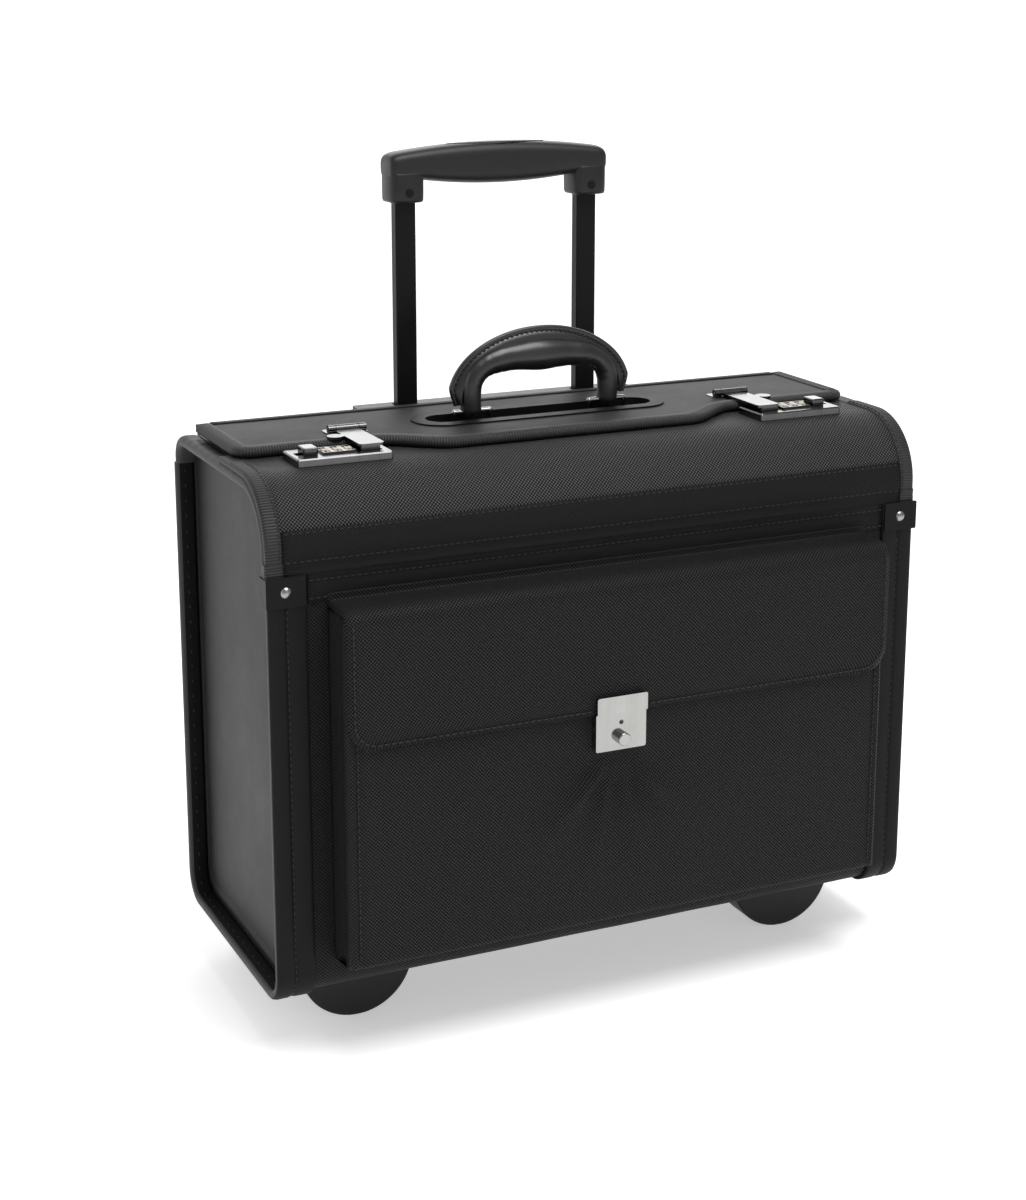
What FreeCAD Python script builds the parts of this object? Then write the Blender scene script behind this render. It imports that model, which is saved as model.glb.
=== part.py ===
import FreeCAD, Part
import math
import os

# Pilot rolling flight case. Millimetres, X to the right, the front faces -Y, +Z up.
# While it is built, y = 0 is the front face of the body and z = 0 is its underside.
# save() then moves every piece, so that the origin is on the ground below the middle.

# Body
half_width = 240.0
body_depth = 196.0
ground_clearance = 40.0
board = 4.0
lower_corner_radius = 20.0
side_board_outer = 227.0
side_board_inner = 223.0
front_board_top = 290.0
rear_board_top = 338.0
side_top = 343.7
band_inner = 214.0
band_proud = 2.3
rim_front_top = 289.0
rim_rear_top = 322.0
edge_pad_height = 8.0
front_edge_setback = 3.3
edge_radius = 41.7
rear_edge_radius = 18.0

# Front cover
cover_radius = 45.0
cover_top = 347.0
cover_board = 3.0
cover_rear = 93.0
cover_bottom = 294.0
cover_tape_inner = 229.0

# Top flap
flap_half_width = 234.0
flap_under = 347.3
flap_thick = 6.0
flap_front_middle = 48.0
flap_front_outer = 75.0
flap_curve_start = 90.0
flap_curve_end = 134.0
flap_rear = 173.0
flap_top = flap_under + flap_thick
flap_tape = 2.5

# Handle recess and carry handle, both on the plane y = handle_y
handle_y = 110.0
recess_half_length = 96.0
recess_half_width = 22.0
recess_hole_half_length = 86.0
recess_hole_half_width = 12.5
recess_floor = 341.0
handle_leg_x = 52.0
handle_roll_radius = 10.5
handle_bend_radius = 26.0
handle_axis_z = 395.0
handle_foot_z = 354.0
handle_pivot_z = 358.0
strip_outer_x = 70.0
strip_bend_radius = 48.0
strip_outer_z = 413.5
strip_thick = 4.0
ring_wire_radius = 1.75
ring_half_span = 13.5
ring_low_z = 344.2
running_gap = 0.05

# Combination locks, one each side
lock_inner_x = 138.0
lock_outer_x = 203.5
lock_front_y = 40.0
lock_rear_y = 71.0
lock_plate_thick = 5.0
lock_plate_top = cover_top + lock_plate_thick
lock_box_bottom = 336.0
dial_radius = 6.6
dial_width = 4.6
dial_pitch = 8.0
dial_first_x = 164.0
dial_y = 56.0
dial_z = 347.6
dial_shaft_radius = 1.5
dial_shaft_end = 186.4
hasp_pin_y = 100.0
hasp_pin_z = 356.6
hasp_pin_radius = 1.2

# Front pocket
pocket_half_width = 200.0
pocket_depth = 30.0
pocket_bottom = 29.0
pocket_top = 257.5
pocket_wall = 3.0
pocket_flap_top = 270.0
pocket_flap_low = 177.5
pocket_flap_thick = 4.0
pocket_flap_gap = 0.3
pocket_flap_roll = 12.0
pocket_flap_corner = 20.0
pocket_flap_rear = -3.0

# Tuck lock of the pocket
tuck_x = -10.0
tuck_half_width = 18.5
tuck_low = 153.5
tuck_split = 179.2
tuck_button_z = 162.0
tuck_button_radius = 4.5

# Pull handle
tube_x = 71.0
tube_y = 185.0
upper_tube = (15.4, 9.0)
tube_wall = 1.0
tube_gap = 0.1
outer_tube_wall = 1.1
outer_tube_low = 24.0
grip_half_width = 84.0
grip_bottom = 495.5
grip_split = 515.5
grip_crown = 536.0
grip_end_top = 529.0
grip_socket_inner = 58.7
grip_front = 172.5
grip_rear = 197.5

# Running gear
wheel_x = 195.0
wheel_y = 162.0
wheel_z = -8.0
tyre_radius = 32.0
hub_radius = 21.0
wheel_half_width = 11.0
axle_radius = 4.0
foot_x = 168.3
foot_front = 42.0
foot_rear = 68.0
foot_radius = 40.6

# The middle of the whole depth, from the tuck lock's button to the rear rim bands
front_reach = -42.5
depth_centre = (front_reach + body_depth + band_proud) / 2


def box(x0, x1, y0, y1, z0, z1):
    return Part.makeBox(x1 - x0, y1 - y0, z1 - z0, FreeCAD.Vector(x0, y0, z0))


def rod_x(x0, x1, y, z, radius):
    return Part.makeCylinder(radius, x1 - x0, FreeCAD.Vector(x0, y, z), FreeCAD.Vector(1, 0, 0))


def rod_y(x, y0, y1, z, radius):
    return Part.makeCylinder(radius, y1 - y0, FreeCAD.Vector(x, y0, z), FreeCAD.Vector(0, 1, 0))


def rod_z(x, y, z0, z1, radius):
    return Part.makeCylinder(radius, z1 - z0, FreeCAD.Vector(x, y, z0))


def mirrored(shape):
    return shape.mirror(FreeCAD.Vector(0, 0, 0), FreeCAD.Vector(1, 0, 0))


def rounded_outline(corners, place):
    """A closed wire through (a, b, radius) corners. place(a, b) gives the point in space."""
    ends = []
    count = len(corners)
    for i in range(count):
        a, b, radius = corners[i]
        before = corners[i - 1]
        after = corners[(i + 1) % count]
        corner = FreeCAD.Vector(a, b, 0)
        to_before = FreeCAD.Vector(before[0], before[1], 0).sub(corner).normalize()
        to_after = FreeCAD.Vector(after[0], after[1], 0).sub(corner).normalize()
        half_angle = to_before.getAngle(to_after) / 2
        reach = radius / math.tan(half_angle)
        bisector = to_before.add(to_after).normalize()
        middle = corner + bisector * (radius / math.sin(half_angle) - radius)
        ends.append((corner + to_before * reach, middle, corner + to_after * reach, radius))
    edges = []
    for i in range(count):
        start, middle, end, radius = ends[i]
        following = ends[(i + 1) % count][0]
        if radius > 0:
            points = [place(p.x, p.y) for p in (start, middle, end)]
            edges.append(Part.Arc(*points).toShape())
        if end.distanceToPoint(following) > 1e-6:
            edges.append(Part.makeLine(place(end.x, end.y), place(following.x, following.y)))
    return Part.Wire(edges)


def slab_x(corners, x0, x1):
    """Corners are (y, z, radius); the outline is extruded from x0 to x1."""
    wire = rounded_outline(corners, lambda y, z: FreeCAD.Vector(x0, y, z))
    return Part.Face(wire).extrude(FreeCAD.Vector(x1 - x0, 0, 0))


def slab_y(corners, y0, y1):
    """Corners are (x, z, radius); the outline is extruded from y0 to y1."""
    wire = rounded_outline(corners, lambda x, z: FreeCAD.Vector(x, y0, z))
    return Part.Face(wire).extrude(FreeCAD.Vector(0, y1 - y0, 0))


def slab_z(corners, z0, z1):
    """Corners are (x, y, radius); the outline is extruded from z0 to z1."""
    wire = rounded_outline(corners, lambda x, y: FreeCAD.Vector(x, y, z0))
    return Part.Face(wire).extrude(FreeCAD.Vector(0, 0, z1 - z0))


def stadium(half_length, half_width, y, z0, z1):
    corners = []
    for x_side, y_side in ((-1, -1), (1, -1), (1, 1), (-1, 1)):
        corners.append((x_side * half_length, y + y_side * half_width, half_width - 0.001))
    return slab_z(corners, z0, z1)


def both_sides(shape):
    return [shape, mirrored(shape)]


def save(name, shapes):
    if not isinstance(shapes, list):
        shapes = [shapes]
    solids = []
    for shape in shapes:
        for solid in shape.Solids:
            moved = solid.copy()
            moved.translate(FreeCAD.Vector(0, -depth_centre, ground_clearance))
            solids.append(moved)
    whole = solids[0] if len(solids) == 1 else Part.makeCompound(solids)
    whole.exportStep(os.path.join("parts", name + ".step"))


def body_outline(inset, x0, x1):
    """Side outline of the body: front and rear up to the top, with round lower corners."""
    radius = lower_corner_radius - inset
    corners = [
        (inset, inset, radius),
        (body_depth - inset, inset, radius),
        (body_depth - inset, side_top, 0),
        (inset, side_top, 0),
    ]
    return slab_x(corners, x0, x1)


def wheel_bay(side):
    """The space that a wheel housing takes from the rear lower edge of the body."""
    low = min(side * 178.3, side * 211.7)
    return box(low, low + 33.4, 126.8, body_depth + 5, -5, 36.2)


def wrapped_boards():
    ring = body_outline(0, -side_board_outer, side_board_outer)
    ring = ring.cut(body_outline(board, -side_board_outer, side_board_outer))
    front = ring.common(box(-half_width, half_width, 0, lower_corner_radius, 0, front_board_top))
    middle_rear = body_depth - lower_corner_radius
    bottom = box(-side_board_outer, side_board_outer, lower_corner_radius, middle_rear, 0, board)
    rear = ring.common(box(-half_width, half_width, middle_rear, body_depth, 0, rear_board_top))
    for side in (-1, 1):
        bottom = bottom.cut(wheel_bay(side))
        rear = rear.cut(wheel_bay(side))
    save("front_panel", front)
    save("bottom_panel", bottom)
    save("rear_panel", rear)


def side_boards():
    low_radius = lower_corner_radius - board
    plate = slab_x(
        [
            (board, board, low_radius),
            (body_depth - board, board, low_radius),
            (body_depth - board, side_top - 0.7, rear_edge_radius - board),
            (board, side_top - 0.7, edge_radius - 0.7),
        ],
        side_board_inner,
        side_board_outer,
    )
    save("side_panels", both_sides(plate))


def rim_bindings():
    x0 = side_board_outer
    wall = body_outline(0, x0, half_width).cut(body_outline(board, x0, half_width))
    skin = body_outline(-band_proud, band_inner, half_width)
    skin = skin.cut(body_outline(0, band_inner, half_width))
    rim = wall.fuse(skin)
    middle = body_depth / 2
    rim = rim.cut(box(0, 300, -20, middle, rim_front_top, 400))
    rim = rim.cut(box(0, 300, middle, 300, rim_rear_top, 400))
    save("rim_bindings", both_sides(rim.removeSplitter()))


def top_edges():
    """The padded top edge of a side, from the corner clip over the top to the rear rim."""
    x0 = side_board_outer
    rear = body_depth

    def outline(inset):
        corners = [
            (front_edge_setback + inset, 200, 0),
            (rear - inset, 200, 0),
            (rear - inset, side_top - inset, rear_edge_radius - inset),
            (front_edge_setback + inset, side_top - inset, edge_radius - inset),
        ]
        return slab_x(corners, x0, half_width)

    pad = outline(0).cut(outline(edge_pad_height))
    pad = pad.cut(box(0, 300, -20, rear / 2, 100, rim_front_top + 0.2))
    pad = pad.cut(box(0, 300, rear / 2, 300, 100, rim_rear_top + 0.2))
    save("top_edges", both_sides(pad))


def hinge_bands():
    band = box(-band_inner + 0.3, band_inner - 0.3, -1.2, 0, 262.5, 292.3)
    band = band.cut(box(-pocket_half_width - 1, pocket_half_width + 1, -5, 5, 250, 270.6))
    save("front_hinge_band", band)
    save("flap_hinge_strip", box(-222, 222, 174.0, 177.0, 345, 346.1))


def corner_clips():
    front = slab_y([(215, 269, 1), (241.3, 269, 1), (241.3, 289, 1), (215, 289, 1)], -3.6, -2.3)
    side = box(half_width, 241.3, -3.0, 9.0, 270, 288)
    clip = front.fuse(side).removeSplitter()
    clip = clip.cut(rod_y(228, -5, 0, 279, 2.0))
    save("corner_clips", both_sides(clip))
    rivet = rod_y(228, -3.6, -2.3, 279, 2.0)
    head = Part.makeSphere(4.5, FreeCAD.Vector(228, -0.9, 279))
    head = head.common(box(220, 236, -10, -3.6, 270, 290))
    save("clip_rivets", both_sides(rivet.fuse(head)))


def rear_rail():
    rail = slab_x([(174, 338.2, 0), (195.8, 338.2, 0), (195.8, 345, 5), (174, 345, 0)], -222.8, 222.8)
    for side in (-1, 1):
        width, depth = outer_tube_size()
        hole = tube_block(side, width + 0.2, depth + 0.2, 330, 350)
        rail = rail.cut(hole)
    save("rear_top_rail", rail)


def inner_boards():
    save("document_divider", box(-222.5, 222.5, 94, 96.5, board, 255))
    lining = box(-222.5, 222.5, 174.2, 176.2, board + 0.3, 336)
    for side in (-1, 1):
        lining = lining.cut(wheel_bay(side))
    save("trolley_lining_panel", lining)


def pocket():
    outer = slab_z(
        [
            (-pocket_half_width, -pocket_depth, 5),
            (pocket_half_width, -pocket_depth, 5),
            (pocket_half_width, 0, 0),
            (-pocket_half_width, 0, 0),
        ],
        pocket_bottom,
        pocket_top,
    )
    inner_x = pocket_half_width - pocket_wall
    inner = box(-inner_x, inner_x, pocket_wall - pocket_depth, 1, pocket_bottom + pocket_wall, 300)
    save("pocket_body", outer.cut(inner))


def pocket_flap():
    front = -pocket_depth - pocket_flap_gap - pocket_flap_thick
    back = front + pocket_flap_thick
    top = pocket_flap_top
    under = top - pocket_flap_thick
    roll = pocket_flap_roll
    section = [
        (front, pocket_flap_low, 1.5),
        (back, pocket_flap_low, 1.5),
        (back, under, roll - pocket_flap_thick),
        (pocket_flap_rear, under, 0),
        (pocket_flap_rear, top, 0),
        (front, top, roll),
    ]
    flap = slab_x(section, -pocket_half_width, pocket_half_width)
    shape_in_front = slab_y(
        [
            (-pocket_half_width, pocket_flap_low, pocket_flap_corner),
            (pocket_half_width, pocket_flap_low, pocket_flap_corner),
            (pocket_half_width, top + 1, 0),
            (-pocket_half_width, top + 1, 0),
        ],
        front - 1,
        0,
    )
    flap = flap.common(shape_in_front)
    notch = box(tuck_x - 10.6, tuck_x + 10.6, front - 1, back + 1, pocket_flap_low - 5, 185.8)
    lock_gap = box(tuck_x - 19, tuck_x + 19, front - 1, back + 1, pocket_flap_low - 5, tuck_split + 0.4)
    save("pocket_flap", flap.cut(notch).cut(lock_gap))


def tuck_lock():
    low = tuck_x - tuck_half_width
    high = tuck_x + tuck_half_width
    body = slab_y(
        [(low, tuck_low, 1.5), (high, tuck_low, 1.5), (high, tuck_split, 0.5), (low, tuck_split, 0.5)],
        -36.5,
        -pocket_depth,
    )
    body = body.cut(box(low - 1, high + 1, -34.6, -20, 177.0, 190))
    tab = box(tuck_x - 10, tuck_x + 10, -34.2, -pocket_depth, 176.9, 185.3)
    slot = box(tuck_x - 5.5, tuck_x + 5.5, -40, -31, 180.0, 184.8)
    bore = rod_y(tuck_x, -40, -31, tuck_button_z, tuck_button_radius + running_gap)
    keyhole = rod_y(tuck_x, -40, -34, 172.6, 1.6)
    body = body.fuse(tab).cut(slot).cut(bore).cut(keyhole).removeSplitter()
    save("tuck_lock_body", body)

    corners = [(low, 179.6, 0.5), (high, 179.6, 0.5), (high, 191.5, 1.5), (low, 191.5, 1.5)]
    plate = slab_y(corners, -38.6, -36.9)
    spacer = box(low + 1, high - 1, -36.9, -34.3, 186.6, 191.0)
    staple = box(tuck_x - 5, tuck_x + 5, -36.9, -31.8, 180.6, 182.8)
    save("tuck_lock_plate", plate.fuse(spacer).fuse(staple).removeSplitter())

    button = rod_y(tuck_x, front_reach, -33.2, tuck_button_z, tuck_button_radius)
    front_face = [edge for edge in button.Edges if abs(edge.CenterOfMass.y - front_reach) < 0.01]
    save("tuck_lock_button", button.makeFillet(0.8, front_face))


def cover_profile(proud, thick, x0, x1):
    """The curved front cover: up the front, round the corner and back along the top."""
    outer = [
        (-proud, cover_bottom, 0),
        (cover_rear, cover_bottom, 0),
        (cover_rear, cover_top + proud, 0),
        (-proud, cover_top + proud, cover_radius + proud),
    ]
    inner = [
        (thick, cover_bottom - 1, 0),
        (cover_rear + 1, cover_bottom - 1, 0),
        (cover_rear + 1, cover_top - thick, 0),
        (thick, cover_top - thick, cover_radius - thick),
    ]
    return slab_x(outer, x0, x1).cut(slab_x(inner, x0, x1))


def front_cover():
    cover = cover_profile(0, cover_board, -cover_tape_inner, cover_tape_inner)
    opening = box(lock_inner_x + 3, lock_outer_x - 3, lock_front_y + 5, lock_rear_y - 5, 330, 360)
    save("front_cover", cover.cut(opening).cut(mirrored(opening)))
    tape = cover_profile(0.8, cover_board, cover_tape_inner, half_width)
    tape = tape.cut(box(0, 300, flap_front_outer - 2, 200, cover_top, 360))
    save("cover_bindings", both_sides(tape))


def lock_body():
    plate = slab_z(
        [
            (lock_inner_x, lock_front_y, 1.5),
            (lock_outer_x, lock_front_y, 1.5),
            (lock_outer_x, lock_rear_y, 1.5),
            (lock_inner_x, lock_rear_y, 1.5),
        ],
        cover_top,
        lock_plate_top,
    )
    top_edges_of_plate = [edge for edge in plate.Edges if edge.BoundBox.ZMin > lock_plate_top - 0.01]
    plate = plate.makeChamfer(0.8, top_edges_of_plate)
    housing = box(
        lock_inner_x + 3.2,
        lock_outer_x - 3.2,
        lock_front_y + 5.2,
        lock_rear_y - 5.2,
        lock_box_bottom,
        cover_top,
    )
    body = plate.fuse(housing)
    window_end = dial_first_x + 2 * dial_pitch + 3.2
    window = box(dial_first_x - 3.2, window_end, dial_y - 8, dial_y + 8, lock_plate_top, 353.4)
    body = body.fuse(window)
    for i in range(3):
        x = dial_first_x + i * dial_pitch
        reach = dial_radius + 0.4
        half = dial_width / 2 + 0.2
        body = body.cut(box(x - half, x + half, dial_y - reach, dial_y + reach, dial_z - reach, 360))
    body = body.cut(rod_x(dial_first_x - 5, dial_shaft_end, dial_y, dial_z, dial_shaft_radius + 0.02))
    tongue_slot = box(142.5, 158.5, 47.4, 54.6, 345.0, 360)
    button_slot = box(187.6, 200.0, 52.0, 60.0, 348.0, 360)
    return body.cut(tongue_slot).cut(button_slot).removeSplitter()


def lock_button():
    corners = [(186.0, 49.5, 1.5), (196.0, 49.5, 1.5), (196.0, 62.5, 1.5), (186.0, 62.5, 1.5)]
    knob = slab_z(corners, 352.2, 356.8)
    top = [edge for edge in knob.Edges if edge.BoundBox.ZMin > 356.7]
    knob = knob.makeFillet(1.0, top)
    stem = box(188.0, 195.5, 52.3, 59.7, 348.3, 352.2)
    return knob.fuse(stem).removeSplitter()


def dial(index):
    x = dial_first_x + index * dial_pitch
    half = dial_width / 2
    wheel = rod_x(x - half, x + half, dial_y, dial_z, dial_radius)
    rims = [edge for edge in wheel.Edges if edge.Length > 6 * dial_radius]
    wheel = wheel.makeChamfer(0.35, rims)
    for i in range(10):
        angle = math.radians(36 * i + 18)
        y = dial_y + (dial_radius + 0.35) * math.cos(angle)
        z = dial_z + (dial_radius + 0.35) * math.sin(angle)
        wheel = wheel.cut(rod_x(x - half - 1, x + half + 1, y, z, 0.8))
    return wheel.cut(rod_x(x - half - 1, x + half + 1, dial_y, dial_z, dial_shaft_radius + running_gap))


def hasp():
    """The lift-up catch: barrel at the flap, plate over the lock, tongue and lifting ear."""
    barrel = rod_x(140.0, 156.0, hasp_pin_y, hasp_pin_z, 2.6)
    plate = slab_z([(140.6, 48.4, 3), (158.0, 48.4, 3), (158.0, 95.8, 1), (140.6, 95.8, 1)], 354.6, 356.4)
    web = box(140.6, 155.8, 94.0, hasp_pin_y, 354.6, 356.4)
    tongue = box(144.0, 157.0, 48.6, 50.4, 347.2, 354.8)
    ear = rod_z(163.5, 80.0, 354.6, 356.4, 5.5)
    neck = box(157.0, 163.5, 76.5, 83.5, 354.6, 356.4)
    whole = barrel.fuse(plate).fuse(web).fuse(tongue).fuse(ear).fuse(neck)
    return whole.cut(rod_x(130, 170, hasp_pin_y, hasp_pin_z, hasp_pin_radius + running_gap)).removeSplitter()


def hasp_base():
    corners = [(134.0, 96.5, 1), (162.0, 96.5, 1), (162.0, 112.0, 3), (134.0, 112.0, 3)]
    plate = slab_z(corners, flap_top, flap_top + 0.6)
    base = plate
    for x0 in (134.6, 156.3):
        knuckle = rod_x(x0, x0 + 5.0, hasp_pin_y, hasp_pin_z, 2.6)
        stand = box(x0, x0 + 5.0, hasp_pin_y - 2.0, hasp_pin_y + 2.0, flap_top, hasp_pin_z)
        base = base.fuse(knuckle).fuse(stand)
    base = base.cut(rod_x(130, 170, hasp_pin_y, hasp_pin_z, hasp_pin_radius + 0.01))
    return base.removeSplitter()


def locks():
    body = lock_body()
    save("lock_body_right", body)
    save("lock_body_left", mirrored(body))
    button = lock_button()
    save("lock_button_right", button)
    save("lock_button_left", mirrored(button))
    for i in range(3):
        wheel = dial(i)
        save("dial_right_%d" % (i + 1), wheel)
        save("dial_left_%d" % (i + 1), mirrored(wheel))
    shaft = rod_x(dial_first_x - 5, dial_shaft_end, dial_y, dial_z, dial_shaft_radius)
    save("dial_shafts", both_sides(shaft))
    catch = hasp()
    save("hasp_right", catch)
    save("hasp_left", mirrored(catch))
    save("hasp_bases", both_sides(hasp_base()))
    save("hasp_pins", both_sides(rod_x(134.6, 161.3, hasp_pin_y, hasp_pin_z, hasp_pin_radius)))


def flap_slab(grow, x_limit, z0, z1):
    """Plan of the flap: the middle reaches further forward than the parts behind the locks."""
    middle = flap_front_middle + grow
    outer = flap_front_outer + grow
    bend = (flap_curve_end - flap_curve_start) / 2.6
    corners = [
        (-x_limit, outer, 6),
        (-flap_curve_end, outer, bend),
        (-flap_curve_start, middle, bend),
        (flap_curve_start, middle, bend),
        (flap_curve_end, outer, bend),
        (x_limit, outer, 6),
        (x_limit, flap_rear, 3),
        (-x_limit, flap_rear, 3),
    ]
    return slab_z(corners, z0, z1)


def top_flap():
    board_part = flap_slab(flap_tape, flap_half_width - flap_tape, flap_under, flap_top)
    slope = [(flap_rear, flap_under + 1, 0), (flap_rear + 1, 360, 0), (165, 360, 0), (165, flap_top, 0)]
    rear_slope = slab_x(slope, -300, 300)
    hole = stadium(recess_hole_half_length + 1.5, recess_hole_half_width + 1.5, handle_y, 340, 360)
    save("top_flap", board_part.cut(rear_slope).cut(hole))
    tape = flap_slab(0, flap_half_width, flap_under, flap_top + 0.8)
    tape = tape.cut(flap_slab(flap_tape, flap_half_width - flap_tape, flap_under - 1, flap_top + 2))
    tape = tape.cut(box(-300, 300, 164, 200, 340, 360))
    save("flap_binding", tape)


def handle_recess():
    rim = stadium(recess_half_length, recess_half_width, handle_y, flap_top, flap_top + 1.2)
    hole_length = recess_hole_half_length
    hole_width = recess_hole_half_width
    cup = stadium(hole_length + 1.3, hole_width + 1.3, handle_y, recess_floor - 1.5, flap_top)
    tray = rim.fuse(cup).cut(stadium(hole_length, hole_width, handle_y, recess_floor, 360))
    for side in (-1, 1):
        centre = side * handle_leg_x
        saddle = box(centre - 6, centre + 6, handle_y - 4, handle_y + 4, recess_floor, ring_low_z + 3)
        tray = tray.fuse(saddle)
        tray = tray.cut(rod_x(centre - 20, centre + 20, handle_y, ring_low_z, ring_wire_radius + 0.02))
    save("handle_recess_tray", tray.removeSplitter())


def handle_ring(side):
    centre = side * handle_leg_x
    span = ring_half_span
    top = rod_x(centre - span, centre + span, handle_y, handle_pivot_z, ring_wire_radius)
    low = rod_x(centre - span, centre + span, handle_y, ring_low_z, ring_wire_radius)
    ring = top.fuse(low)
    for end in (-span, span):
        ring = ring.fuse(rod_z(centre + end, handle_y, ring_low_z, handle_pivot_z, ring_wire_radius))
        for z in (ring_low_z, handle_pivot_z):
            ring = ring.fuse(Part.makeSphere(ring_wire_radius, FreeCAD.Vector(centre + end, handle_y, z)))
    return ring.removeSplitter()


def handle_arch(x, bend, top_z):
    """Wire up one leg, over the top and down the other, on the handle's plane."""
    y = handle_y
    low = handle_foot_z
    side_z = top_z - bend
    across = x - bend
    corner = bend * math.sqrt(0.5)
    edges = [Part.makeLine(FreeCAD.Vector(-x, y, low), FreeCAD.Vector(-x, y, side_z))]
    left = [(-x, side_z), (-across - corner, side_z + corner), (-across, top_z)]
    edges.append(Part.Arc(*[FreeCAD.Vector(a, y, b) for a, b in left]).toShape())
    edges.append(Part.makeLine(FreeCAD.Vector(-across, y, top_z), FreeCAD.Vector(across, y, top_z)))
    right = [(across, top_z), (across + corner, side_z + corner), (x, side_z)]
    edges.append(Part.Arc(*[FreeCAD.Vector(a, y, b) for a, b in right]).toShape())
    edges.append(Part.makeLine(FreeCAD.Vector(x, y, side_z), FreeCAD.Vector(x, y, low)))
    return Part.Wire(edges)


def carry_handle():
    path = handle_arch(handle_leg_x, handle_bend_radius, handle_axis_z)
    start = Part.makeCircle(
        handle_roll_radius, FreeCAD.Vector(-handle_leg_x, handle_y, handle_foot_z), FreeCAD.Vector(0, 0, 1)
    )
    roll = path.makePipeShell([Part.Wire([start])], True, False)
    pivots = [
        rod_x(
            side * handle_leg_x - 20,
            side * handle_leg_x + 20,
            handle_y,
            handle_pivot_z,
            ring_wire_radius + running_gap,
        )
        for side in (-1, 1)
    ]
    outer = strip_face(strip_outer_x, strip_bend_radius, strip_outer_z)
    inner = strip_face(handle_leg_x, handle_bend_radius, handle_axis_z)
    strip = outer.cut(inner).cut(roll).cut(box(-100, 100, 0, 200, 0, 361.5))
    strip = max(strip.Solids, key=lambda solid: solid.Volume)
    for pivot in pivots:
        roll = roll.cut(pivot)
    save("carry_handle", roll)
    save("carry_handle_strip", strip)


def strip_face(x, bend, top_z):
    y0 = handle_y - strip_thick / 2
    corners = [(-x, handle_foot_z, 0), (x, handle_foot_z, 0), (x, top_z, bend), (-x, top_z, bend)]
    return slab_y(corners, y0, y0 + strip_thick)


def tube_block(side, width, depth, z0, z1, radius=1.2):
    x = side * tube_x
    corners = [
        (x - width / 2, tube_y - depth / 2, radius),
        (x + width / 2, tube_y - depth / 2, radius),
        (x + width / 2, tube_y + depth / 2, radius),
        (x - width / 2, tube_y + depth / 2, radius),
    ]
    return slab_z(corners, z0, z1)


def grown(size, amount):
    return size[0] + 2 * amount, size[1] + 2 * amount


def middle_tube_size():
    return grown(upper_tube, tube_gap + tube_wall)


def outer_tube_size():
    return grown(middle_tube_size(), tube_gap + outer_tube_wall)


def tube_pair(size, wall, z0, z1):
    width, depth = size
    pair = []
    for side in (-1, 1):
        outside = tube_block(side, width, depth, z0, z1)
        inside = tube_block(side, width - 2 * wall, depth - 2 * wall, z0 - 1, z1 + 1, 0.5)
        pair.append(outside.cut(inside))
    return pair


def pull_handle_tubes():
    save("trolley_outer_tubes", tube_pair(outer_tube_size(), outer_tube_wall, outer_tube_low, 345))
    save("trolley_middle_tubes", tube_pair(middle_tube_size(), tube_wall, 27, 347))
    save("trolley_upper_tubes", tube_pair(upper_tube, tube_wall, 168.5, 510))


def pull_handle_fittings():
    front = 177.2
    bezel = slab_z([(-108.5, front, 3), (108.5, front, 3), (108.5, 195.6, 3), (-108.5, 195.6, 3)], 345, 350.6)
    bezel = bezel.cut(box(-120, 120, 190.5, 200, 340, 345.8))
    width, depth = middle_tube_size()
    bracket = box(-92, 92, 177.5, 191.8, lower_corner_radius + 0.2, 36)
    outer_width, outer_depth = outer_tube_size()
    for side in (-1, 1):
        bezel = bezel.cut(tube_block(side, width + 0.4, depth + 0.4, 340, 360))
        bracket = bracket.cut(tube_block(side, outer_width + 0.1, outer_depth + 0.1, outer_tube_low, 50))
    save("trolley_bezel", bezel.removeSplitter())
    save("trolley_foot_bracket", bracket)


def grip_outline():
    """Front outline of the grip: crowned top, drooping underside and a socket at each end."""
    half = grip_half_width
    inner = grip_socket_inner
    corners = [
        (-half + 2, grip_bottom, 1.5),
        (-inner, grip_bottom, 1.5),
        (-inner, 509.5, 4),
        (0, 506.2, 60),
        (inner, 509.5, 4),
        (inner, grip_bottom, 1.5),
        (half - 2, grip_bottom, 1.5),
        (half, 512, 2),
        (half, grip_end_top, 9),
        (0, grip_crown + 1.5, 220),
        (-half, grip_end_top, 9),
        (-half, 512, 2),
    ]
    return slab_y(corners, grip_front, grip_rear)


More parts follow.
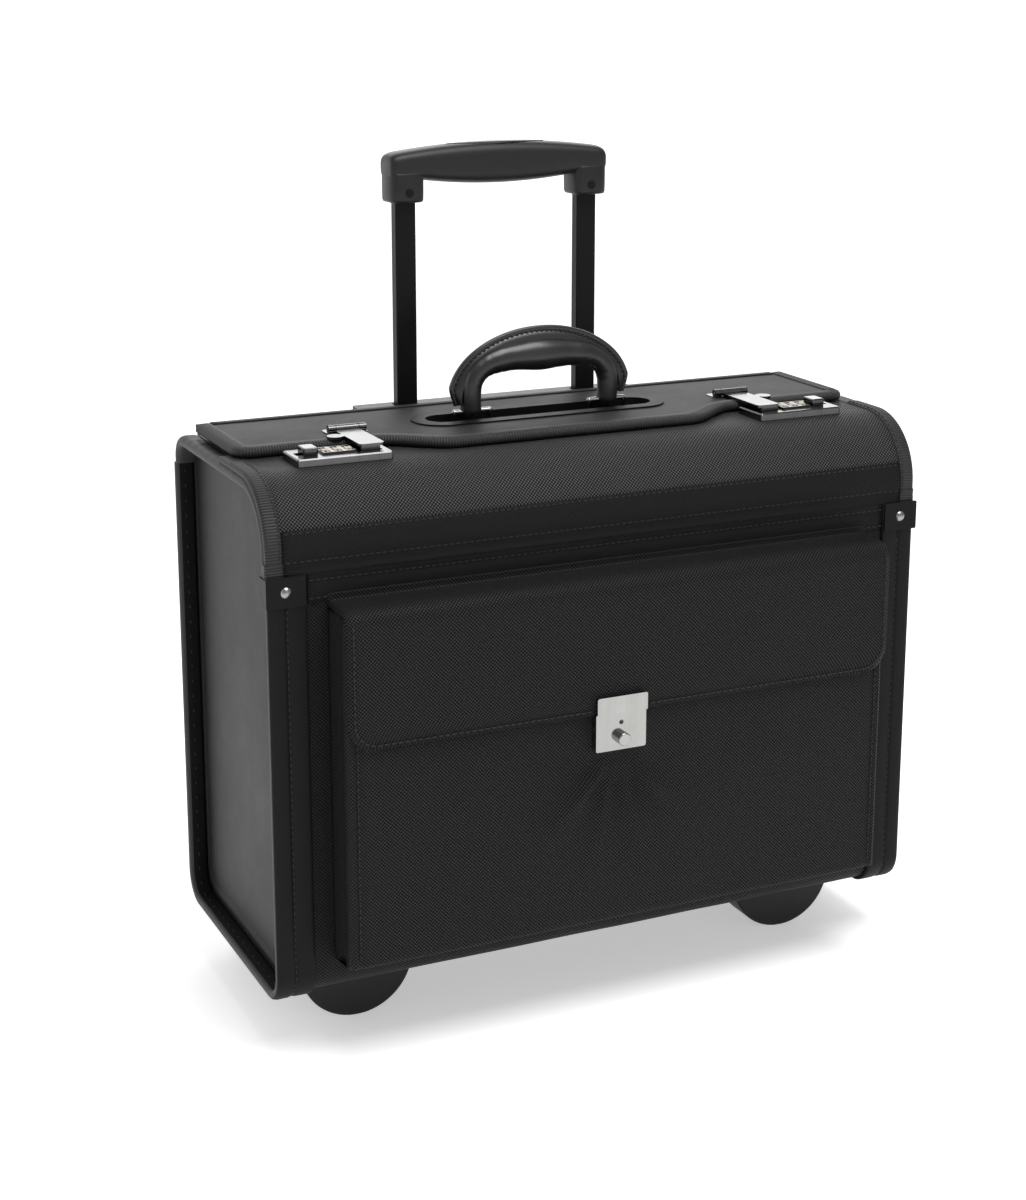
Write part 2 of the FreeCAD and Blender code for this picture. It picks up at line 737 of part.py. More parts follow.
def grip_and_release():
    whole = grip_outline()
    section = slab_x(
        [
            (grip_front, 480, 0),
            (grip_rear, 480, 0),
            (grip_rear, grip_crown + 1, 8),
            (grip_front, grip_crown + 1, 8),
        ],
        -100,
        100,
    )
    whole = whole.common(section)
    button_hole = stadium(38.3, 8.3, tube_y, 520, 560)
    channel = box(-78.5, 78.5, tube_y - 3.5, tube_y + 3.5, 513.5, 525)
    whole = whole.cut(channel)
    upper = whole.common(box(-100, 100, 150, 220, grip_split, 560)).cut(button_hole)
    lower = whole.common(box(-100, 100, 150, 220, 480, grip_split))
    lower = lower.cut(rod_z(0, tube_y, 511.0, 520, 4.2))
    for side in (-1, 1):
        lower = lower.cut(tube_block(side, upper_tube[0] + 0.04, upper_tube[1] + 0.04, 480, 510))
        lower = lower.cut(rod_z(side * tube_x, tube_y, 500, 520, 2.6))
        lower = lower.cut(rod_y(side * tube_x, 170, 181, 502.5, 2.0))
    save("grip_upper", upper)
    save("grip_lower", lower)
    button = stadium(38, 8, tube_y, 524.0, 560).common(grip_outline()).common(section)
    save("release_button", button)
    slider = box(-77, 77, tube_y - 3, tube_y + 3, 519.0, 524.0)
    for side in (-1, 1):
        slider = slider.fuse(rod_z(side * tube_x, tube_y, 172, 520, 2.2))
    save("release_slider", slider.removeSplitter())
    save("release_spring", release_spring())
    screws = []
    for side in (-1, 1):
        head = rod_y(side * tube_x, grip_front - 0.4, grip_front, 502.5, 3.0)
        shank = rod_y(side * tube_x, grip_front, tube_y - upper_tube[1] / 2, 502.5, 1.95)
        screws.append(head.fuse(shank))
    save("grip_screws", screws)


def release_spring():
    """A coil under the slider, as a wire swept along a helix."""
    wire_radius = 0.4
    coil_radius = 2.7
    path = Part.makeHelix(1.9, 7.2, coil_radius)
    start = Part.makeCircle(wire_radius, FreeCAD.Vector(coil_radius, 0, 0), FreeCAD.Vector(0, 1, 0))
    coil = Part.Wire(path.Edges).makePipeShell([Part.Wire([start])], True, True)
    coil.translate(FreeCAD.Vector(0, tube_y, 511.4))
    return coil


def wheels():
    x0 = wheel_x - wheel_half_width
    x1 = wheel_x + wheel_half_width
    tyre = rod_x(x0, x1, wheel_y, wheel_z, tyre_radius)
    shoulders = [edge for edge in tyre.Edges if edge.Length > 6 * tyre_radius]
    tyre = tyre.makeFillet(3.5, shoulders).cut(rod_x(x0 - 1, x1 + 1, wheel_y, wheel_z, hub_radius))
    hub = rod_x(x0, x1, wheel_y, wheel_z, hub_radius)
    hub = hub.cut(rod_x(x0 - 1, x0 + 4, wheel_y, wheel_z, 17).cut(rod_x(x0 - 1, x0 + 4, wheel_y, wheel_z, 8)))
    hub = hub.cut(rod_x(x1 - 4, x1 + 1, wheel_y, wheel_z, 17).cut(rod_x(x1 - 4, x1 + 1, wheel_y, wheel_z, 8)))
    hub = hub.cut(rod_x(x0 - 1, x1 + 1, wheel_y, wheel_z, axle_radius + running_gap))
    save("wheel_tyre_right", tyre)
    save("wheel_tyre_left", mirrored(tyre))
    save("wheel_hub_right", hub)
    save("wheel_hub_left", mirrored(hub))
    axle = rod_x(178.5, 211.5, wheel_y, wheel_z, axle_radius)
    axle = axle.fuse(rod_x(176.9, 178.5, wheel_y, wheel_z, 6)).fuse(rod_x(211.5, 213.1, wheel_y, wheel_z, 6))
    save("wheel_axles", both_sides(axle))


def wheel_housings():
    outer = box(178.5, 211.5, 127, body_depth - 0.2, -1.5, 36)
    corners = [(144, 2, 0), (144, -8, 0), (152, -19, 8), (172, -19, 8), (181, -8, 0), (181, 2, 0)]
    cheek = slab_x(corners, 178.5, 211.5)
    inner = box(181, 209, 129.5, body_depth + 5, -30, 33.5)
    housing = outer.fuse(cheek).cut(inner)
    housing = housing.cut(rod_x(170, 220, wheel_y, wheel_z, axle_radius + 0.01))
    save("wheel_housings", both_sides(housing.removeSplitter()))


def feet():
    disc = rod_y(foot_x, foot_front, foot_rear, 0, foot_radius)
    rim_edges = [edge for edge in disc.Edges if edge.Length > 6 * foot_radius]
    disc = disc.makeFillet(2.0, rim_edges)
    disc = disc.common(box(100, 230, foot_front, foot_rear, -ground_clearance, 0))
    plate = slab_y([(121, -7, 3), (213, -7, 3), (213, 0, 0), (121, 0, 0)], foot_front + 4, foot_rear + 6)
    save("feet", both_sides(disc.fuse(plate).removeSplitter()))


def main():
    os.makedirs("parts", exist_ok=True)
    wrapped_boards()
    side_boards()
    rim_bindings()
    top_edges()
    hinge_bands()
    corner_clips()
    rear_rail()
    inner_boards()
    pocket()
    pocket_flap()
    tuck_lock()
    front_cover()
    locks()
    top_flap()
    handle_recess()
    save("handle_rings", [handle_ring(-1), handle_ring(1)])
    carry_handle()
    pull_handle_tubes()
    pull_handle_fittings()
    grip_and_release()
    wheels()
    wheel_housings()
    feet()


main()
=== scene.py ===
import math

import bmesh
import bpy
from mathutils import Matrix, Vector, noise


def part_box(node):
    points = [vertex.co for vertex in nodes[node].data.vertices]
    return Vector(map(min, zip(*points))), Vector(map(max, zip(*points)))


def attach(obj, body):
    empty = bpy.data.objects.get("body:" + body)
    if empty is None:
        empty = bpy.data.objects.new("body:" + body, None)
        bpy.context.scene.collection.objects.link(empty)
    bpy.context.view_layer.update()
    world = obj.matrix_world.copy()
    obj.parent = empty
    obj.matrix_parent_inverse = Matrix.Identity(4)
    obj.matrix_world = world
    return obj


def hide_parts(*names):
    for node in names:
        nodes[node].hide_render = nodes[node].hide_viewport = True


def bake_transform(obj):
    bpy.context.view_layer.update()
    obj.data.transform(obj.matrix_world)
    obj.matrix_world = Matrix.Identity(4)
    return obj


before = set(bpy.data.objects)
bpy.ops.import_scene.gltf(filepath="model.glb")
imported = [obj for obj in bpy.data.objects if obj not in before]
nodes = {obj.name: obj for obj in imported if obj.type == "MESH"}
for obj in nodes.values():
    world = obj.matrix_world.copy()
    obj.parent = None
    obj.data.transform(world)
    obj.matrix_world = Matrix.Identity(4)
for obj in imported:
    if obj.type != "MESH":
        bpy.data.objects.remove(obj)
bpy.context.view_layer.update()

mm = 0.001
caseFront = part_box("front_panel")[0][1]
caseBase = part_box("bottom_panel")[0][2]


def at(x, y, z):
    # x from the middle, y back from the case's front face, z up from its underside, all in mm
    return Vector((x * mm, caseFront + y * mm, caseBase + z * mm))


class Signal:
    # wraps one socket, so that shader maths reads as plain expressions
    def __init__(self, tree, socket):
        self.tree = tree
        self.socket = socket

    def maths(self, operation, *terms):
        node = self.tree.nodes.new("ShaderNodeMath")
        node.operation = operation
        for place, term in enumerate(terms):
            if isinstance(term, Signal):
                self.tree.links.new(term.socket, node.inputs[place])
            else:
                node.inputs[place].default_value = term
        return Signal(self.tree, node.outputs[0])

    def __add__(self, other):
        return self.maths("ADD", self, other)

    def __radd__(self, other):
        return self.maths("ADD", other, self)

    def __sub__(self, other):
        return self.maths("SUBTRACT", self, other)

    def __rsub__(self, other):
        return self.maths("SUBTRACT", other, self)

    def __mul__(self, other):
        return self.maths("MULTIPLY", self, other)

    def __rmul__(self, other):
        return self.maths("MULTIPLY", other, self)

    def wave(self):
        return self.maths("SINE", self)

    def size(self):
        return self.maths("ABSOLUTE", self)

    def clamp(self):
        return self.maths("MAXIMUM", self.maths("MINIMUM", self, 1.0), 0.0)


class Finish:
    def __init__(self, name):
        self.material = bpy.data.materials.new(name)
        self.material.use_nodes = True
        self.tree = self.material.node_tree
        self.tree.nodes.clear()
        self.shader = self.tree.nodes.new("ShaderNodeBsdfPrincipled")
        output = self.tree.nodes.new("ShaderNodeOutputMaterial")
        self.tree.links.new(self.shader.outputs[0], output.inputs["Surface"])

    def node(self, kind, settings=None, sockets=None, output=0):
        made = self.tree.nodes.new(kind)
        for key, value in (settings or {}).items():
            setattr(made, key, value)
        for key, value in (sockets or {}).items():
            if isinstance(value, Signal):
                self.tree.links.new(value.socket, made.inputs[key])
            else:
                made.inputs[key].default_value = value
        return Signal(self.tree, made.outputs[output])

    def objectSpace(self):
        return self.node("ShaderNodeTexCoord", output=3)

    def clothSpace(self):
        return self.node("ShaderNodeUVMap", {"uv_map": "cloth"})

    def split(self, vector):
        first = self.node("ShaderNodeSeparateXYZ", {}, {0: vector})
        return [Signal(self.tree, socket) for socket in first.socket.node.outputs]

    def speckle(self, vector, scale, detail=3.0, roughness=0.5):
        return self.node("ShaderNodeTexNoise", {}, {
            "Vector": vector, "Scale": scale, "Detail": detail, "Roughness": roughness})

    def blendColours(self, factor, first, second):
        # the colour sockets of a Mix node are its inputs 6 and 7 and its output 2
        return self.node("ShaderNodeMix", {"data_type": "RGBA"},
                         {0: factor, 6: (*first, 1), 7: (*second, 1)}, output=2)

    def bump(self, height, depth, strength=1.0, under=None):
        sockets = {"Height": height, "Distance": depth, "Strength": strength}
        if under:
            sockets["Normal"] = under
        return self.node("ShaderNodeBump", {}, sockets)

    def surface(self, **sockets):
        for key, value in sockets.items():
            socket = self.shader.inputs[key.replace("_", " ")]
            if isinstance(value, Signal):
                self.tree.links.new(value.socket, socket)
            elif isinstance(value, tuple):
                socket.default_value = (*value, 1)
            else:
                socket.default_value = value
        return self.material


def grey(level, blue=0.0):
    return level, level, level + blue


wovenValues = {
    "pitch": 0.00125,  # metres from yarn to yarn
    "yarn": grey(0.027, 0.001),
    "gap": grey(0.0008),
    "depth": 0.0004,
    "gloss": 0.13,
}


def wovenFabric(name, values, paintedLightScale=1.0):
    finish = Finish(name)
    cloth = finish.clothSpace()
    across, along, _ = finish.split(cloth)
    wander = finish.speckle(cloth, 90, 2) - 0.5
    turn = math.pi / values["pitch"]
    checks = ((across + wander * 0.0001) * turn).wave() * ((along + wander * 0.0001) * turn).wave()
    height = (checks * 1.3 + 0.34).clamp()
    patches = finish.speckle(finish.objectSpace(), 14, 3)
    fuzz = finish.speckle(cloth, 2600, 2)
    # the scale lightens or darkens the yarn and gap colours: painted light or shade on a copy of the weave
    yarn = tuple(part * paintedLightScale for part in values["yarn"])
    gap = tuple(part * paintedLightScale for part in values["gap"])
    colour = finish.blendColours((height * (0.82 + patches * 0.3) + (fuzz - 0.5) * 0.25).clamp(), gap, yarn)
    rough = 0.42 + (1 - height) * 0.3 + (patches - 0.5) * 0.16
    slow = finish.bump(finish.speckle(finish.objectSpace(), 45, 2), 0.0006, 0.35)
    normal = finish.bump(height + fuzz * 0.1, values["depth"], 0.9, slow)
    return finish.surface(Base_Color=colour, Roughness=rough, Normal=normal, Specular_IOR_Level=values["gloss"])


leatherValues = {
    # grain is cells per metre, depth is in metres
    "side": {"base": grey(0.014), "dark": grey(0.008), "grain": 900, "depth": 0.00010, "rough": 0.47, "gloss": 0.22},
    "flap": {"base": grey(0.024, 0.001), "dark": grey(0.015), "grain": 1300, "depth": 0.00010, "rough": 0.56,
             "gloss": 0.14},
    # the edge leatherette is about twice as light as the flap's: painted highlight on rounded edges that catch the
    # overhead light
    "edge": {"base": grey(0.052, 0.002), "dark": grey(0.036, 0.001), "grain": 1000, "depth": 0.00007, "rough": 0.5,
             "gloss": 0.16},
    "handle": {"base": grey(0.012), "dark": grey(0.006), "grain": 1100, "depth": 0.00006, "rough": 0.31, "gloss": 0.6},
    "rim": {"base": grey(0.008), "dark": grey(0.004), "grain": 800, "depth": 0.00010, "rough": 0.58, "gloss": 0.14},
}


def grainedLeather(name, values):
    finish = Finish(name)
    place = finish.objectSpace()
    cells = finish.node("ShaderNodeTexVoronoi", {}, {"Vector": place, "Scale": values["grain"]})
    pores = finish.speckle(place, values["grain"] * 0.35, 4)
    patches = finish.speckle(place, 9, 4)
    scuffs = finish.speckle(place, 60, 6, 0.7)
    colour = finish.blendColours((patches * 0.7 + pores * 0.35).clamp(), values["dark"], values["base"])
    rough = values["rough"] + (patches - 0.5) * 0.2 + (scuffs - 0.5) * 0.12 + (1 - cells) * 0.03
    slow = finish.bump(finish.speckle(place, 26, 2), 0.001, 0.22)
    normal = finish.bump(cells * 0.6 + pores * 0.6, values["depth"], 0.8, slow)
    return finish.surface(Base_Color=colour, Roughness=rough, Normal=normal, Specular_IOR_Level=values["gloss"])


tapeLooks = {"base": grey(0.024, 0.001), "groove": grey(0.002), "rib": 0.0019, "thread": 0.0006}


def ribbedTape(name, values):
    # ribs run across the tape, and the map's second direction runs along it
    finish = Finish(name)
    cloth = finish.clothSpace()
    across, along, _ = finish.split(cloth)
    ribs = (along * (math.pi / values["rib"])).wave().size()
    threads = (across * (math.pi / values["thread"])).wave().size()
    fuzz = finish.speckle(finish.objectSpace(), 1500, 3)
    colour = finish.blendColours((ribs * 0.85 + threads * 0.1 + (fuzz - 0.5) * 0.3).clamp(),
                                 values["groove"], values["base"])
    rough = 0.62 - ribs * 0.12 + (fuzz - 0.5) * 0.15
    normal = finish.bump(ribs + threads * 0.15 + fuzz * 0.15, 0.0003, 0.8)
    return finish.surface(Base_Color=colour, Roughness=rough, Normal=normal, Specular_IOR_Level=0.35)


threadValues = {"light": grey(0.022), "shade": grey(0.003), "twist": 0.0007}


def sewingThread(name, values):
    finish = Finish(name)
    place = finish.objectSpace()
    x, y, z = finish.split(place)
    twist = ((x + y * 0.7 + z) * (math.pi / values["twist"])).wave() * 0.5 + 0.5
    fuzz = finish.speckle(place, 2000, 2)
    colour = finish.blendColours((twist * 0.7 + fuzz * 0.4).clamp(), values["shade"], values["light"])
    return finish.surface(Base_Color=colour, Roughness=0.5 + fuzz * 0.2,
                          Normal=finish.bump(twist + fuzz * 0.2, 0.0001, 0.7), Specular_IOR_Level=0.35)


liningValues = {"shade": grey(0.022, 0.002), "base": grey(0.075, 0.004), "rough": 0.8, "sheen": 0.2}


def liningCloth(name, values):
    finish = Finish(name)
    place = finish.objectSpace()
    nap = finish.speckle(place, 900, 4)
    drift = finish.speckle(place, 22, 3)
    colour = finish.blendColours((nap * 0.6 + drift * 0.4).clamp(), values["shade"], values["base"])
    return finish.surface(Base_Color=colour, Roughness=values["rough"] + (nap - 0.5) * 0.2,
                          Normal=finish.bump(nap, 0.0002, 0.7), Sheen_Weight=values["sheen"])


plasticValues = {
    "grip": {"base": grey(0.012), "texture": 1700, "depth": 0.00005, "rough": 0.42},
    "tray": {"base": grey(0.007), "texture": 1500, "depth": 0.00004, "rough": 0.52, "gloss": 0.12},
    "button": {"base": grey(0.005), "texture": 500, "depth": 0.00001, "rough": 0.22},
    "foot": {"base": grey(0.008), "texture": 1300, "depth": 0.00007, "rough": 0.5},
    "tyre": {"base": grey(0.007), "texture": 700, "depth": 0.00010, "rough": 0.66},
}


def mouldedPlastic(name, values):
    finish = Finish(name)
    place = finish.objectSpace()
    spark = finish.speckle(place, values["texture"], 3, 0.6)
    drift = finish.speckle(place, 18, 3)
    rub = finish.speckle(place, 130, 5, 0.7)
    shade = tuple(part * 0.62 for part in values["base"])
    colour = finish.blendColours((drift * 0.7 + spark * 0.4).clamp(), shade, values["base"])
    rough = values["rough"] + (spark - 0.5) * 0.12 + (rub - 0.5) * 0.14
    return finish.surface(Base_Color=colour, Roughness=rough, Normal=finish.bump(spark, values["depth"], 0.8),
                          Specular_IOR_Level=values.get("gloss", 0.3))


metalValues = {
    "plated": {"base": grey(0.40, -0.01), "dull": grey(0.27, -0.01), "rough": 0.12, "metallic": 1.0, "line": 40},
    "lock": {"base": grey(0.15), "dull": grey(0.06), "rough": 0.2, "metallic": 1.0, "line": 60},
    "slider": {"base": grey(0.10), "dull": grey(0.06), "rough": 0.12, "metallic": 1.0, "line": 60},
    "brushed": {"base": grey(0.36), "dull": grey(0.24), "rough": 0.30, "metallic": 1.0, "line": 400},
    "painted": {"base": grey(0.007), "dull": grey(0.004), "rough": 0.42, "metallic": 0.0, "line": 60, "gloss": 0.12},
    "anodised": {"base": grey(0.006), "dull": grey(0.003), "rough": 0.36, "metallic": 0.0, "line": 700,
                 "gloss": 0.12},
}


def wornMetal(name, values):
    finish = Finish(name)
    place = finish.objectSpace()
    x, y, z = finish.split(place)
    stretched = finish.node("ShaderNodeCombineXYZ", {}, {"X": x, "Y": y, "Z": z * 0.04})
    lines = finish.speckle(stretched, values["line"] * 4, 4, 0.6)
    smears = finish.speckle(place, 70, 5, 0.65)
    colour = finish.blendColours((smears * 0.6 + lines * 0.5).clamp(), values["dull"], values["base"])
    rough = values["rough"] + (smears - 0.5) * 0.16 + (lines - 0.5) * 0.08
    return finish.surface(Base_Color=colour, Roughness=rough, Metallic=values["metallic"],
                          Normal=finish.bump(lines, 0.00001, 0.5), Specular_IOR_Level=values.get("gloss", 0.5))


ivoryValues = {"stain": (0.34, 0.28, 0.20), "base": (0.50, 0.44, 0.34), "rough": 0.3}


def ivoryDial(name, values):
    finish = Finish(name)
    place = finish.objectSpace()
    stain = finish.speckle(place, 240, 4)
    colour = finish.blendColours(stain, values["stain"], values["base"])
    return finish.surface(Base_Color=colour, Roughness=values["rough"] + (stain - 0.5) * 0.1,
                          Normal=finish.bump(stain, 0.00002, 0.5))


finishes = {
    "woven": wovenFabric("ballistic weave", wovenValues),
    # the cover is the ballistic weave made 2.8 times lighter: painted highlight standing in for the overhead light on
    # its curve
    "cover": wovenFabric("cover weave with painted highlight", wovenValues, 2.8),
    # the hinge band is a finer weave, and its colour at 0.65 times the weave's is painted shade in the fold
    "hinge": wovenFabric("hinge weave with painted shade", {**wovenValues, "pitch": 0.0010, "depth": 0.0002}, 0.65),
    "side": grainedLeather("side leatherette", leatherValues["side"]),
    "flap": grainedLeather("flap leatherette", leatherValues["flap"]),
    "edge": grainedLeather("padded edge leatherette with painted highlight", leatherValues["edge"]),
    "handle": grainedLeather("handle leather", leatherValues["handle"]),
    "rim": grainedLeather("rim leatherette", leatherValues["rim"]),
    "tape": ribbedTape("ribbed binding tape", tapeLooks),
    "thread": sewingThread("black thread", threadValues),
    "lining": liningCloth("lining cloth", liningValues),
    "grip": mouldedPlastic("grip plastic", plasticValues["grip"]),
    "tray": mouldedPlastic("tray plastic", plasticValues["tray"]),
    "button": mouldedPlastic("button plastic", plasticValues["button"]),
    "foot": mouldedPlastic("foot plastic", plasticValues["foot"]),
    "tyre": mouldedPlastic("tyre rubber", plasticValues["tyre"]),
    "plated": wornMetal("nickel plate", metalValues["plated"]),
    "lock": wornMetal("lock plate", metalValues["lock"]),
    "slider": wornMetal("dark plated slider", metalValues["slider"]),
    "brushed": wornMetal("brushed steel", metalValues["brushed"]),
    "painted": wornMetal("black painted metal", metalValues["painted"]),
    "anodised": wornMetal("black anodised tube", metalValues["anodised"]),
    "dial": ivoryDial("ivory dial", ivoryValues),
}
print("finishes ready")


cameraValues = {"turn": -24.88, "lift": 13.46, "target": (-26.5, 97.5, 308.9), "distance": 1.4956, "lens": 64.52,
                "shift": -0.1}


def setCamera():
    camera = bpy.data.objects.new("camera", bpy.data.cameras.new("camera"))
    bpy.context.collection.objects.link(camera)
    turn, lift = math.radians(cameraValues["turn"]), math.radians(cameraValues["lift"])
    back = Vector((math.sin(turn) * math.cos(lift), -math.cos(turn) * math.cos(lift), math.sin(lift)))
    camera.location = at(*cameraValues["target"]) + back * cameraValues["distance"]
    camera.rotation_euler = back.to_track_quat("Z", "Y").to_euler()
    camera.data.sensor_width = 36
    camera.data.lens = cameraValues["lens"]
    camera.data.shift_y = cameraValues["shift"]
    camera.data.clip_start = 0.05
    bpy.context.scene.camera = camera


lightValues = {
    "above": {"at": (0.15, -0.62, 1.75), "size": 1.0, "power": 23},
    "left": {"at": (-1.7, -0.2, 0.85), "size": 1.2, "power": 4.2},
    "front": {"at": (0.7, -2.2, 1.0), "size": 1.5, "power": 2.2},
    "behind": {"at": (0.6, 1.5, 1.3), "size": 1.4, "power": 8},
}
worldBrightness = 0.38


def setLights():
    for name, values in lightValues.items():
        lamp = bpy.data.lights.new(name + " softbox", "AREA")
        lamp.size = values["size"]
        lamp.energy = values["power"]
        holder = bpy.data.objects.new(name + " softbox", lamp)
        bpy.context.collection.objects.link(holder)
        holder.location = values["at"]
        aim = holder.location - Vector((0, 0, 0.25))
        holder.rotation_euler = aim.to_track_quat("Z", "Y").to_euler()
    world = bpy.data.worlds.new("studio")
    world.use_nodes = True
    background = world.node_tree.nodes["Background"]
    background.inputs[0].default_value = (1, 1, 1, 1)
    background.inputs[1].default_value = worldBrightness
    bpy.context.scene.world = world
    bpy.context.scene.view_settings.view_transform = "Standard"


paperValues = {
    "floor": {"reach": 30, "shade": grey(0.90), "base": grey(0.94), "glow": 0.42},
    "backdrop": {"half": 9, "back": 4, "low": -0.01, "high": 7, "base": grey(0.5), "glow": 0.9},
}


def stagePaper(name, corners, material):
    mesh = bpy.data.meshes.new(name)
    mesh.from_pydata(corners, [], [(0, 1, 2, 3)])
    mesh.materials.append(material)
    paper = bpy.data.objects.new(name, mesh)
    bpy.context.collection.objects.link(paper)


def layFloor():
    values = paperValues["floor"]
    reach = values["reach"]
    paper = Finish("pale floor")
    drift = paper.speckle(paper.objectSpace(), 3, 2)
    material = paper.surface(Base_Color=paper.blendColours(drift, values["shade"], values["base"]), Roughness=0.9,
                             Specular_IOR_Level=0.1, Emission_Color=(1, 1, 1), Emission_Strength=values["glow"])
    stagePaper("floor", [(-reach, -reach, 0), (reach, -reach, 0), (reach, reach, 0), (-reach, reach, 0)], material)
    values = paperValues["backdrop"]
    half, back, low, high = values["half"], values["back"], values["low"], values["high"]
    material = Finish("pale backdrop").surface(Base_Color=values["base"], Roughness=0.9, Emission_Color=(1, 1, 1),
                                               Emission_Strength=values["glow"])
    stagePaper("backdrop", [(-half, back, low), (half, back, low), (half, back, high), (-half, back, high)], material)


setCamera()
setLights()
layFloor()
print("camera, lights and floor ready")


def roundedPath(corners, step):
    # corners are (a, b, radius); the result is points no further apart than step
    points = []
    for place, (a, b, radius) in enumerate(corners):
        here = Vector((a, b))
        if radius == 0 or place in (0, len(corners) - 1):
            points.append(here)
            continue
        before = (Vector(corners[place - 1][:2]) - here).normalized()
        after = (Vector(corners[place + 1][:2]) - here).normalized()
        angle = before.angle(after)
        reach = radius / math.tan(angle / 2)
        middle = here + (before + after).normalized() * (radius / math.sin(angle / 2))
        first = here + before * reach - middle
        sweep = first.angle_signed(here + after * reach - middle)
        count = max(2, int(abs(sweep) * radius / step) + 1)
        for part in range(count + 1):
            turn = -sweep * part / count
            points.append(middle + Vector((first.x * math.cos(turn) - first.y * math.sin(turn),
                                           first.x * math.sin(turn) + first.y * math.cos(turn))))
    filled = [points[0]]
    for point in points[1:]:
        gap = point - filled[-1]
        if gap.length < 1e-6:
            continue
        pieces = max(1, math.ceil(gap.length / step - 0.001))
        start = filled[-1].copy()
        filled.extend(start + gap * (part / pieces) for part in range(1, pieces + 1))
    return filled


def pathFrames(points):
    # (point, direction, normal on the left of the direction) for each point
    frames = []
    last = len(points) - 1
    for place, point in enumerate(points):
        direction = (points[min(place + 1, last)] - points[max(place - 1, 0)]).normalized()
        frames.append((point, direction, Vector((-direction.y, direction.x))))
    return frames


def newMesh(name, verts, faces, finish, coords=None, smooth=True, sharp=40):
    mesh = bpy.data.meshes.new(name)
    mesh.from_pydata([tuple(vert) for vert in verts], [], faces)
    layer = mesh.uv_layers.new(name="cloth")
    if coords:
        for face, places in zip(mesh.polygons, coords):
            for loop, place in zip(face.loop_indices, places):
                layer.data[loop].uv = place
    mesh.validate()
    if smooth:
        mesh.polygons.foreach_set("use_smooth", [True] * len(mesh.polygons))
        mesh.set_sharp_from_angle(angle=math.radians(sharp))
    piece = bpy.data.objects.new(name, mesh)
    bpy.context.collection.objects.link(piece)
    mesh.materials.append(finishes[finish])
    return piece


def patch(name, rows, finish, ringed=False, capped=False, sharp=40, extra=None, pick=None, measured=None, skip=None):
    # a grid of points; ringed joins each row's ends, capped closes the first and last row,
    # pick says which faces take the extra finish, and faces for which skip is true are left out
    rowCount, width = len(rows), len(rows[0])
    verts = [point for row in rows for point in row]
    acrossAt = [0.0]
    middle = rows[rowCount // 2]
    for place in range(width):
        step = (middle[(place + 1) % width] - middle[place]).length
        acrossAt.append(acrossAt[-1] + step)
    alongAt = measured or [0.0]
    if not measured:
        for before, after in zip(rows, rows[1:]):
            step = max((after[k] - before[k]).length for k in (0, width // 2, width - 1))
            alongAt.append(alongAt[-1] + step)
    faces, coords, kinds = [], [], []
    for row in range(rowCount - 1):
        for spot in range(width if ringed else width - 1):
            start, after, nextSpot = row * width, (row + 1) * width, (spot + 1) % width
            if skip and skip((verts[start + spot] + verts[after + nextSpot]) / 2):
                continue
            faces.append((start + spot, start + nextSpot, after + nextSpot, after + spot))
            coords.append(((acrossAt[spot], alongAt[row]), (acrossAt[spot + 1], alongAt[row]),
                           (acrossAt[spot + 1], alongAt[row + 1]), (acrossAt[spot], alongAt[row + 1])))
            kinds.append(pick(spot) if pick else 0)
    if capped:
        for row, order in ((0, range(width - 1, -1, -1)), (rowCount - 1, range(width))):
            faces.append(tuple(row * width + spot for spot in order))
            coords.append(tuple((0.0, 0.0) for _ in range(width)))
            kinds.append(0)
    piece = newMesh(name, verts, faces, finish, coords, sharp=sharp)
    if extra:
        piece.data.materials.append(finishes[extra])
        piece.data.polygons.foreach_set("material_index", kinds)
    return piece


def fixNormals(piece):
    work = bmesh.new()
    work.from_mesh(piece.data)
    bmesh.ops.recalc_face_normals(work, faces=work.faces)
    work.to_mesh(piece.data)
    work.free()
    return piece


def thicken(piece, thickness, side=-1, even=True):
    wall = piece.modifiers.new("thickness", "SOLIDIFY")
    wall.thickness = thickness
    wall.offset = side
    wall.use_even_offset = even
    return piece


def softenEdges(piece, width, segments=2, angle=35):
    bevel = piece.modifiers.new("soft edges", "BEVEL")
    bevel.width = width
    bevel.segments = segments
    bevel.angle_limit = math.radians(angle)
    return piece


def stands(piece, body, slot, *replaced):
    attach(piece, body)
    if replaced:
        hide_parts(*replaced)
    return piece


def evenly(points, pitch):
    # (place, direction) every pitch along a line of points
    spots = []
    travelled, wanted = 0.0, pitch / 2
    for first, second in zip(points, points[1:]):
        gap = second - first
        if gap.length < 1e-9:
            continue
        while wanted <= travelled + gap.length:
            spots.append((first + gap * ((wanted - travelled) / gap.length), gap.normalized()))
            wanted += pitch
        travelled += gap.length
    return spots


stitchValues = {
    "pitch": 4.6, "length": 3.4, "width": 1.1, "height": 0.35, "sides": 6,
    # (share of the length, share of the width, share of the height) along one stitch
    "profile": ((-0.5, 0.35, -0.5), (-0.32, 0.85, 0.35), (0.0, 1.0, 0.75), (0.32, 0.85, 0.35), (0.5, 0.35, -0.5)),
}


